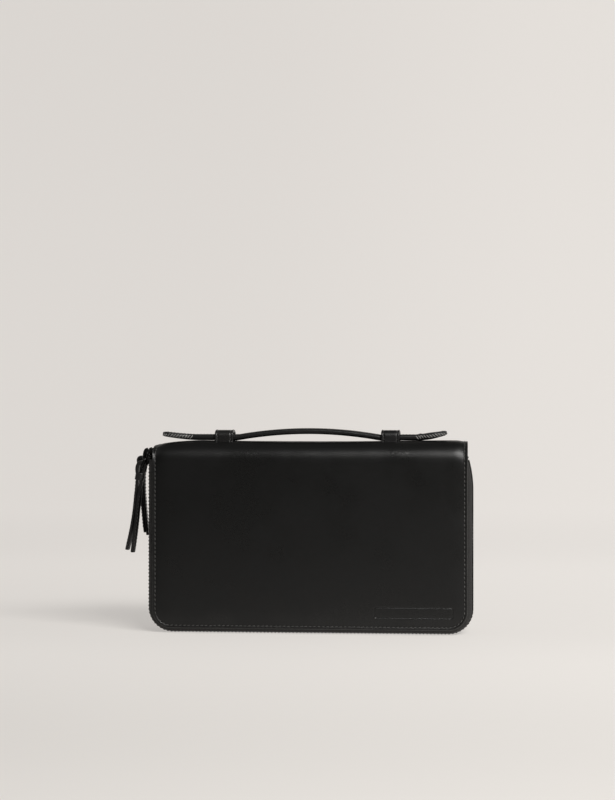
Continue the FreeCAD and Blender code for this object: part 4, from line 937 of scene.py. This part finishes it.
def makeTail(name, node, body, way):
    # flat on the spine, then a paddle that lifts off it: its height grows with a power of the distance, its
    # width swells to the paddle and closes round the tip as an ellipse
    s = {**handleSizes, **tailSizes[way]}
    low, high = nodeBox(node)
    inner, tip = (high[0], low[0]) if way < 0 else (low[0], high[0])
    long, turn = abs(tip - inner), s["paddleTurn"]
    run = long - turn * (1 - np.sin(np.linspace(0, math.pi / 2, 14)))
    run = np.concatenate([np.linspace(0, long - turn, 60), run[1:]])
    rest = long - s["lifted"]
    climb = np.clip((run - rest) / s["lifted"], 0, 1)
    base = s["tailBase"] + s["halfThick"]
    path = np.stack([inner + way * run, np.zeros_like(run), base + (s["tip"] - base) * climb**1.5], axis=1)
    lifts = np.cross(unit(np.gradient(path, axis=0)), backWay)
    lifts = lifts * np.sign(lifts[:, 2:3])
    swell = np.clip((run - long + s["paddleLong"]) / turn, 0, 1)
    wide = s["halfWide"] + (s["paddleHalf"] - s["halfWide"]) * swell * swell * (3 - 2 * swell)
    ending = np.clip((run - long + turn) / turn, 0, 1)
    wide = wide * np.sqrt(np.clip(1 - ending**2, 0.0004, 1))
    thick = s["halfThick"] + (s["tipThick"] - s["halfThick"]) * climb
    thick = thick * np.clip(1 - ending**10, 0.45, 1) ** 0.5
    section = ovalSection(1, 1, 4.0, 40, 0.95)[None] * np.stack([wide, thick], axis=1)[:, None]
    if way > 0:
        # the strap is fullest where it is sewn down and a little full beyond
        section[..., 1] *= (1 + 0.2 * bell(run, rest + 3, 1.3) + 0.22 * bell(run, rest + 10, 6))[:, None]
    strap = carry(path, backWay, lifts, section)
    makePiece(name, [strap], [strapLeather], body=body, replaced=[node])
    rows, whips = [], []
    paddle, flat = (run > long - 22) & (run < long - 1.0), (run > 1) & (run < long - 24)
    onTop = run < long - 1.6
    for edge in (-1, 1):
        out = backWay * edge
        rim = path + out * (wide - 0.12)[:, None]
        whips.append(stitches(rim[paddle], out, {**whipThread, "slant": whipThread["slant"] * edge * way}))
        line = path + out * (wide - 0.5)[:, None] - lifts * s["seamDrop"]
        rows.append(stitches(line[flat], unit(out - lifts * s["seamSlant"])[flat], fineThread))
        top = path + out * np.maximum(wide - 1.6, 0)[:, None] + lifts * (thick * 0.93)[:, None]
        rows.append(stitches(top[onTop], lifts[onTop], fineThread))
    makePiece(name + "Stitches", rows, [blackThread], body=body)
    makePiece(name + "Whips", whips, [greyThread], body=body)
    at = np.searchsorted(run, rest + s["tackAt"])
    across = np.linspace(-4.6, 4.6, 12)[:, None]
    tack = path[at] + lifts[at] * (thick[at] * s["tackLift"] - 0.02) + backWay * across
    front = path[at] + np.array([[0.0, -wide[at] - 0.04, thick[at] * share] for share in s["tackReach"]])
    rows = [stitches(tack, lifts[at], tackThread), stitches(front, -backWay, frontTackThread)]
    makePiece(name + "Tack", rows, [paleThread], body=body)


makeTail("tailLeft", "handle_tail_left", "handle_left", -1)
makeTail("tailRight", "handle_tail_right", "handle_right", 1)


keeperSizes = {
    "thick": 1.7, "foot": 1.3, "footLift": 1.2, "corner": 3.0, "crown": (0.15, 0.2),
    "rim": 0.75, "seamIn": 1.9, "seamDeep": 0.34, "beadIn": 0.85, "bead": 0.22,
}
keeperThread = {**fineThread, "pitch": 1.9, "length": 1.35}


def makeKeeper(name, node, shift):
    # a band folded over the strap: its path goes up one side, over two round corners and down the other
    s = keeperSizes
    low, high = nodeBox(node)
    half, thick, radius = (high[0] - low[0]) / 2, s["thick"], s["corner"]
    out, top, base = high[1] - thick / 2, high[2] - thick / 2, low[2] - s["foot"]
    turn = np.linspace(0, math.pi / 2, 9)[1:]
    y = np.concatenate([[-out - 0.5, -out - 0.15, -out], radius - out - radius * np.cos(turn), [-out * 0.3]])
    z = np.concatenate([[base, base + s["footLift"], top - radius], top - radius + radius * np.sin(turn)])
    z = np.concatenate([z, [top + s["crown"][0]]])
    y, z = np.concatenate([y, [0], -y[::-1]]), np.concatenate([z, [top + s["crown"][1]], z[::-1]])
    line = evenly(np.stack([y, z], axis=1), 0.45)[0]
    path = np.stack([np.full(len(line), (low[0] + high[0]) / 2 + shift), line[:, 0], line[:, 1]], axis=1)
    lifts = np.cross(rightWay, unit(np.gradient(path, axis=0)))
    fromFoot = path - np.array([path[0, 0], 0, base])
    lifts = lifts * np.sign(np.sum(lifts * fromFoot, axis=1, keepdims=True))
    x = np.linspace(-half, half, 45)
    e = half - np.abs(x)
    # the upper side has rounded rims, a sewn groove and a bead outside it
    rise = thick / 2 * np.sqrt(np.clip(1 - (1 - np.minimum(e, s["rim"]) / s["rim"]) ** 2, 0, 1))
    rise = rise - s["seamDeep"] * bell(e, s["seamIn"], 0.42) + s["bead"] * bell(e, s["beadIn"], 0.5)
    under = np.stack([x[-2:0:-1], np.full(43, -thick / 2)], axis=1)
    band = carry(path, rightWay, lifts, np.concatenate([np.stack([x, rise], axis=1), under]))
    makePiece(name, [band], [strapLeather], body="spine", replaced=[node])
    rows = []
    for way in (-1, 1):
        seam = path + rightWay * way * (half - s["seamIn"]) + lifts * (thick / 2 - 0.22)
        rows.append(stitches(seam[3:-3], lifts[3:-3], keeperThread))
    makePiece(name + "Stitches", rows, [blackThread], body="spine")


makeKeeper("keeperLeft", "keeper_left", -0.9)
makeKeeper("keeperRight", "keeper_right", -2.0)
print("handle made")

# zip sliders, links and pulls

sliderSizes = {
    "height": 121.5, "plateThick": 1.05, "plateGap": 1.45, "halfWide": 4.8, "halfTall": 5.5,
    "underScale": 0.97, "neck": (1.3, 1.2), "neckUp": 3.6, "bail": (1.6, 1.4), "bailHalf": 4.9, "bailLess": 1.0,
}
linkSizes = {"wire": 0.72, "side": 0.55, "half": 4.0, "shiftShare": 0.8}


def plateShape(outline, middle, out):
    # a plate with round rims: rings of the outline drawn in and lifted as a quarter circle, front and back
    turn = np.radians([-90, -60, -30, 0, 30, 60, 90])
    inset, lift = ((values * sliderSizes["plateThick"] * 0.5) for values in (1 - np.cos(turn), np.sin(turn)))
    size = np.linalg.norm(outline, axis=1, keepdims=True)
    flat = np.array([backWay, upWay])
    rings = [middle + (outline * (1 - i / size)) @ flat + out * l for i, l in zip(inset, lift)]
    return joinShapes([gridShape(np.stack(rings), closeColumns=True), capShape(rings[0]), capShape(rings[-1])])


def sliderOutline():
    # narrow at the foot where the chain is closed, two shoulders where it parts
    angle = np.linspace(0, 2 * math.pi, 48, endpoint=False)
    wide = sliderSizes["halfWide"] * signedPower(np.cos(angle), 0.7)
    tall = sliderSizes["halfTall"] * signedPower(np.sin(angle), 0.8)
    return np.stack([wide * np.interp(tall, [-5.5, -1.5, 2.5, 5.5], [0.72, 0.8, 1.0, 0.86]), tall], axis=1)


def makeSlider(label, side):
    # two plates, the neck between them and a bail: half an oval, its rise the sine of the angle to a power
    s = sliderSizes
    node = f"{label}_zip_slider"
    middle = np.array([-zipSizes["half"], side * zipSizes["depth"], s["height"]])
    thick = s["plateThick"]
    shapes = [
        plateShape(sliderOutline() * scale, middle + out * (s["plateGap"] + thick / 2), out)
        for out, scale in ((-rightWay, 1), (rightWay, s["underScale"]))
    ]
    ends = np.array([middle + rightWay * way * 1.6 + upWay * s["neckUp"] for way in (-1, 1)])
    shapes.append(carry(ends, backWay, upWay, ovalSection(*s["neck"], 2.4, 16)))
    turn = np.linspace(0, math.pi, 25)
    foot = middle - rightWay * (s["plateGap"] + thick * 0.7)
    rise = abs(nodeBox(node)[0][0] - foot[0]) - s["bailLess"]
    bail = foot - rightWay * (rise * np.sin(turn) ** 0.75)[:, None]
    bail = bail + upWay * (s["bailHalf"] * np.cos(turn) - 0.1)[:, None]
    lifts = np.cross(unit(np.gradient(bail, axis=0)), backWay)
    shapes.append(carry(bail, backWay, lifts, ovalSection(*s["bail"], 2.6, 18)))
    makePiece(f"{label}Slider", shapes, [sliderMetal], body=f"{label}_slider", replaced=[node])


pullSizes = {
    "halfWide": 2.95, "bowAt": 22.0, "bowLong": 15.0, "shiftLong": 16.0, "seamIn": 1.9, "bindingAt": 6.5,
    "bindingHalf": (2.75, 3.45), "bindingTall": 2.6, "bindingCords": 1.3,
    "front": {
        "lean": 9.8, "halfThick": 0.93, "loop": 2.6, "loopTall": 3.5, "loopThick": 1.3, "split": 30.0,
        "bow": -0.9, "shift": -2.3, "long": (58.5, 59.5), "spreadTips": (1.5, 0.9), "twist": -16.0, "twistTips": -12.0,
    },
    "back": {
        "lean": -3.0, "halfThick": 0.88, "loop": 2.0, "loopTall": 2.2, "loopThick": 1.0, "split": 22.0,
        "bow": 0.0, "shift": 0.0, "long": (51.0, 53.0), "spreadTips": (-1.1, 1.0), "twist": 0.0, "twistTips": 0.0,
    },
}


def ringPath(centreA, centreB, halfWide):
    # a closed loop with round corners between two cross bars
    angle = np.linspace(0, 2 * math.pi, 72, endpoint=False)
    wide = halfWide * signedPower(np.cos(angle), 0.55)
    tall = np.linalg.norm(centreB - centreA) / 2 * signedPower(np.sin(angle), 0.55)
    return (centreA + centreB) / 2 + backWay * wide[:, None] - unit(centreB - centreA) * tall[:, None]


def jointPlace(name):
    joint = next(j for j in frame["joints"] if j["name"] == name)
    return np.array(joint["pos_m"], float) / mm


def makeLink(label, hinge, far):
    # the ring hangs a little outwards, under the middle of the pull's loop; its wire is thicker at the sides
    s = linkSizes
    far = far + rightWay * pullSizes[label]["shift"] * s["shiftShare"]
    path = ringPath(hinge, far, s["half"] - s["wire"])
    tangents = unit(np.roll(path, -1, axis=0) - np.roll(path, 1, axis=0))
    lifts = np.broadcast_to(unit(np.cross(far - hinge, backWay)), path.shape)
    angle = np.linspace(0, 2 * math.pi, len(path), endpoint=False)
    wire = s["wire"] + s["side"] * np.abs(np.cos(angle))
    section = ovalSection(1, 1, 2.0, 12)[None] * wire[:, None, None]
    ring = carry(path, np.cross(tangents, lifts), lifts, section, closed=True)
    replaced = [f"{label}_puller_link"]
    makePiece(f"{label}Link", [ring], [sliderMetal], body=f"{label}_link", replaced=replaced)


def makePull(label):
    # one strip folded over the link's lower bar: up one leg, round the bar and down the other, its tails apart
    s = {**pullSizes, **pullSizes[label]}
    body = f"{label}_pull"
    pivot = jointPlace(f"{label}_strap_swing")
    legs = []
    for way, length, wide in zip((-1, 1), s["long"], s["spreadTips"]):
        fall = length * np.linspace(0, 1, 50)
        close = np.interp(fall, [0, 2, 6.5, 16, 24], [s["loop"], s["loop"] * 0.98, 1.7, 1.15, 0.95])
        part = np.clip((fall - s["split"]) / (length - s["split"]), 0, 1)
        legs.append(np.stack([way * (close + wide * part**1.35), -fall], axis=1))
    turn = np.linspace(math.pi, 0, 17)[1:-1]
    over = np.stack([s["loop"] * np.cos(turn), s["loopTall"] * np.sin(turn)], axis=1)
    line = np.concatenate([legs[0][::-1], over, legs[1]])
    lean = math.radians(s["lean"])
    acrossWay = np.array([math.cos(lean), 0, -math.sin(lean)])
    downWay = np.array([math.sin(lean), 0, math.cos(lean)])
    # the pair of legs bows as a bell curve and turns about its own length below the binding
    fall = -line[:, 1]
    bow = s["bow"] * bell(fall, s["bowAt"], s["bowLong"]) + s["shift"] * bell(fall, 0, s["shiftLong"])
    twist = np.radians(np.interp(fall, [9, 20, 36, 58], [0, s["twist"], s["twist"], s["twistTips"]]))[:, None]
    path = pivot + (acrossWay * np.cos(twist) + backWay * np.sin(twist)) * line[:, 0:1]
    path = path + acrossWay * bow[:, None] + downWay * line[:, 1:2]
    tangents = unit(np.gradient(path, axis=0))
    lifts = unit(np.cross(tangents, backWay * np.cos(twist) - acrossWay * np.sin(twist)))
    sides = np.cross(lifts, tangents)
    tips = np.minimum(*(np.linalg.norm(path - path[end], axis=1) for end in (0, -1)))
    wide = s["halfWide"] * np.interp(tips, [0, 0.4, 1.2], [0.86, 0.95, 1.0])
    thick = np.interp(line[:, 1], [-6.0, -1.5], [s["halfThick"], s["loopThick"]])
    section = ovalSection(1, 1, 4.5, 28)[None] * np.stack([wide, thick], axis=1)[:, None]
    strip = carry(path, sides, lifts, section, dome=0.2)
    replaced = [f"{label}_pull_strap"]
    makePiece(f"{label}Pull", [strip], [strapLeather], body=body, replaced=replaced)
    rows = []
    for leg, sewn, away in ((slice(0, 50), slice(3, -6), -6), (slice(-50, None), slice(6, -3), 6)):
        points, ups = path[leg], lifts[leg]
        outwards = points - points.mean(0) + acrossWay * away
        outside = ups * np.sign(np.sum(ups * outwards, axis=1, keepdims=True))
        for edge in (-1, 1):
            seam = points + sides[leg] * edge * s["seamIn"] + outside * (s["halfThick"] - 0.02)
            rows.append(stitches(seam[sewn], outside[sewn], fineThread))
    makePiece(f"{label}PullStitches", rows, [blackThread], body=body)
    # the binding is a rounded ring whose section has the bulges of two wound cords
    angle = np.linspace(0, 2 * math.pi, 56, endpoint=False)
    c, t = np.cos(angle), np.sin(angle)
    half, deep = s["bindingHalf"]
    a = half * signedPower(c, 0.6) + np.interp(s["bindingAt"], fall[len(line) // 2 :], bow[len(line) // 2 :])
    ring = pivot + acrossWay * a[:, None] + backWay * (deep * signedPower(t, 0.6))[:, None]
    ring = ring - downWay * s["bindingAt"]
    out = unit(acrossWay * c[:, None] + backWay * t[:, None])
    tall = s["bindingTall"]
    h = np.linspace(-tall, tall, 25)
    bulge = 0.36 + 0.13 * np.abs(np.sin(h * math.pi / s["bindingCords"]))
    bulge = bulge - 0.3 * np.clip(np.abs(h) - 2.2, 0, 1)
    section = np.concatenate([np.stack([h, bulge], axis=1), [[tall, -0.35], [-tall, -0.35]]])
    band = carry(ring, downWay, out, section, closed=True)
    replaced = [f"{label}_pull_binding"]
    makePiece(f"{label}Binding", [band], [strapLeather], body=body, replaced=replaced)


for side, label in ((-1, "front"), (1, "back")):
    makeSlider(label, side)
    makeLink(label, jointPlace(f"{label}_link_swing"), jointPlace(f"{label}_strap_swing"))
    makePull(label)
print("sliders and pulls made")

# finishes for the pieces that keep their own shape

keptFinishes = {
    "front_zip_teeth_cover": toothMetal,
    "front_zip_teeth_divider": toothMetal,
    "back_zip_teeth_cover": toothMetal,
    "back_zip_teeth_divider": toothMetal,
    "zip_stops": sliderMetal,
    "coin_zip_tape": liningCloth,
    "coin_zip_teeth": toothMetal,
    "coin_zip_slider": sliderMetal,
    "coin_pull_tab": strapLeather,
}
for node, finish in keptFinishes.items():
    mesh = frame["nodes"][node].data
    mesh.materials.clear()
    mesh.materials.append(finish)

# floor, light and camera

setSizes = {
    # paperLeft is painted shade: the paper's colour on its darker left side
    "paper": (0.42, 0.408, 0.391, 1), "paperLeft": (0.395, 0.383, 0.367, 1), "paperReflectionShade": (0.04, 0.04, 0.04, 1),
    "halfWide": 6.0, "front": -6.0, "wall": 2.8, "wallTurn": 1.2, "wallTop": 6.0,
    "glow": (1.0, 0.955, 0.91, 1), "glowNear": 0.325, "glowUnder": 0.125, "glowBehind": 0.105, "glowFar": 0.06,
    "glowTop": -0.015, "glowAside": 0.24,
    "worldSide": (0.55, 0.545, 0.54, 1), "worldUp": (0.10, 0.10, 0.10, 1),
    "worldFront": (0.035, 0.035, 0.037, 1), "worldSeen": (0.74, 0.71, 0.68, 1),
    "keyPower": 34.0, "keyPlace": (0.85, -1.25, 1.2), "keyAim": (0, 0, 0.07), "keySize": (1.2, 0.5),
    "keyColour": (1.0, 0.985, 0.965),
    "lens": 87.1, "cameraPlace": (0.1147, -1.345, 0.161), "cameraTurn": 4.985,
}


def makeFloor():
    # a wide sheet of paper that turns up behind: flat, a quarter round, then upright
    s = setSizes
    turn = np.linspace(0, math.pi / 2, 24)
    bendAt, bend = s["wall"] - s["wallTurn"], s["wallTurn"]
    y = np.concatenate([[s["front"], -2.0], bendAt + bend * np.sin(turn), [s["wall"]]])
    z = np.concatenate([[0.0, 0.0], bend - bend * np.cos(turn), [s["wallTop"]]])
    x = np.broadcast_to(np.linspace(-s["halfWide"], s["halfWide"], 13), (len(y), 13))
    shape = gridShape(np.stack([x, *(np.broadcast_to(side[:, None], x.shape) for side in (y, z))], axis=-1))
    mesh = bpy.data.meshes.new("paperSweep")
    mesh.from_pydata(shape["points"], [], shape["faces"].tolist())
    mesh.shade_smooth()
    material, tree, shader, coords = newMaterial("palePaper")
    x, y, z = addNode(tree, "SeparateXYZ", {0: coords["Object"]}).outputs
    fibre = noise(tree, coords["Object"], 60.0, 4.0).outputs["Fac"]
    # painted shade: the paper is a little darker towards the left, away from the key light
    tone = mixColour(tree, remap(tree, x, -0.4, 0.4), s["paperLeft"], s["paper"])
    # painted shade seen in the leather: for every ray but the camera's the paper turns dark towards the front and the
    # left
    seen = addNode(tree, "LightPath").outputs["Is Camera Ray"]
    fade = calc(tree, "MULTIPLY", remap(tree, y, -0.8, -0.12), remap(tree, x, -0.35, 0.3, 0.55, 1.0))
    far = calc(tree, "MAXIMUM", seen, fade)
    # the paper's own light grows behind the case and up the wall, and stops above the view
    glow = calc(tree, "ADD", s["glowNear"], remap(tree, y, -0.5, -0.1, 0.0, s["glowUnder"]))
    glow = calc(tree, "ADD", glow, remap(tree, y, -0.1, 0.6, 0.0, s["glowBehind"]))
    glow = calc(tree, "ADD", glow, remap(tree, y, 0.6, 1.6, 0.0, s["glowFar"]))
    glow = calc(tree, "ADD", glow, remap(tree, z, 0.25, 1.0, 0.0, s["glowTop"]))
    glow = calc(tree, "MULTIPLY", glow, remap(tree, z, 1.3, 2.2, 1.0, 0.05))
    # to the sides and nearer than the view the paper keeps its light, so that it ends pale there too
    aside = calc(tree, "MAXIMUM", calc(tree, "ABSOLUTE", x), calc(tree, "MULTIPLY", y, -1.0))
    glow = calc(tree, "MULTIPLY_ADD", remap(tree, aside, 0.9, 2.6, 0.0, s["glowAside"]), seen, glow)
    # the glow stops where the paper is darkened for reflections, and painted shade makes it a little weaker towards
    # the left
    glow = calc(tree, "MULTIPLY", calc(tree, "MULTIPLY", glow, far), remap(tree, x, -0.5, 0.4, 0.94, 1.0))
    # painted shade: away from the camera the paper takes the dark colour where it is seen in reflections
    colour = mixColour(tree, far, s["paperReflectionShade"], tone)
    rough = remap(tree, fibre, 0.3, 0.7, 0.9, 0.98)
    setInputs(tree, shader, {"Base Color": colour, "Roughness": rough, "Specular IOR Level": 0.1})
    setInputs(tree, shader, {"Emission Color": s["glow"], "Emission Strength": glow})
    mesh.materials.append(material)
    floor = bpy.data.objects.new("paperSweep", mesh)
    scene.collection.objects.link(floor)


def makeWorld():
    # soft light all round, dark overhead and low down in front
    world = bpy.data.worlds.new("softRoom")
    world.use_nodes = True
    tree = world.node_tree
    back = next(n for n in tree.nodes if n.type == "BACKGROUND")
    x, y, z = addNode(tree, "SeparateXYZ", {0: addNode(tree, "TexCoord").outputs["Generated"]}).outputs
    facing = calc(tree, "MULTIPLY_ADD", y, -1.0, calc(tree, "MULTIPLY", z, -0.9))
    facing = calc(tree, "MULTIPLY_ADD", x, -0.35, facing)
    room = mixColour(tree, remap(tree, z, 0.55, 0.85), setSizes["worldSide"], setSizes["worldUp"])
    room = mixColour(tree, remap(tree, facing, -0.15, 0.5), room, setSizes["worldFront"])
    seen = addNode(tree, "LightPath").outputs["Is Camera Ray"]
    setInputs(tree, back, {"Color": mixColour(tree, seen, room, setSizes["worldSeen"])})
    scene.world = world


def makeLight():
    light = bpy.data.lights.new("keyLight", "AREA")
    light.shape = "RECTANGLE"
    light.size, light.size_y = setSizes["keySize"]
    light.energy = setSizes["keyPower"]
    light.color = setSizes["keyColour"]
    lamp = bpy.data.objects.new("keyLight", light)
    lamp.location = setSizes["keyPlace"]
    way = np.array(setSizes["keyAim"]) - np.array(setSizes["keyPlace"])
    lamp.rotation_mode = "QUATERNION"
    lamp.rotation_quaternion = Vector(way).to_track_quat("-Z", "Y")
    scene.collection.objects.link(lamp)


def makeCamera():
    camera = bpy.data.cameras.new("camera")
    camera.lens = setSizes["lens"]
    camera.sensor_width = 36
    camera.clip_end = 50
    lens = bpy.data.objects.new("camera", camera)
    lens.location = setSizes["cameraPlace"]
    lens.rotation_euler = (math.radians(90), 0, math.radians(setSizes["cameraTurn"]))
    scene.collection.objects.link(lens)
    scene.camera = lens


makeFloor()
makeWorld()
makeLight()
makeCamera()
scene.view_settings.view_transform = "Standard"
print("set made")
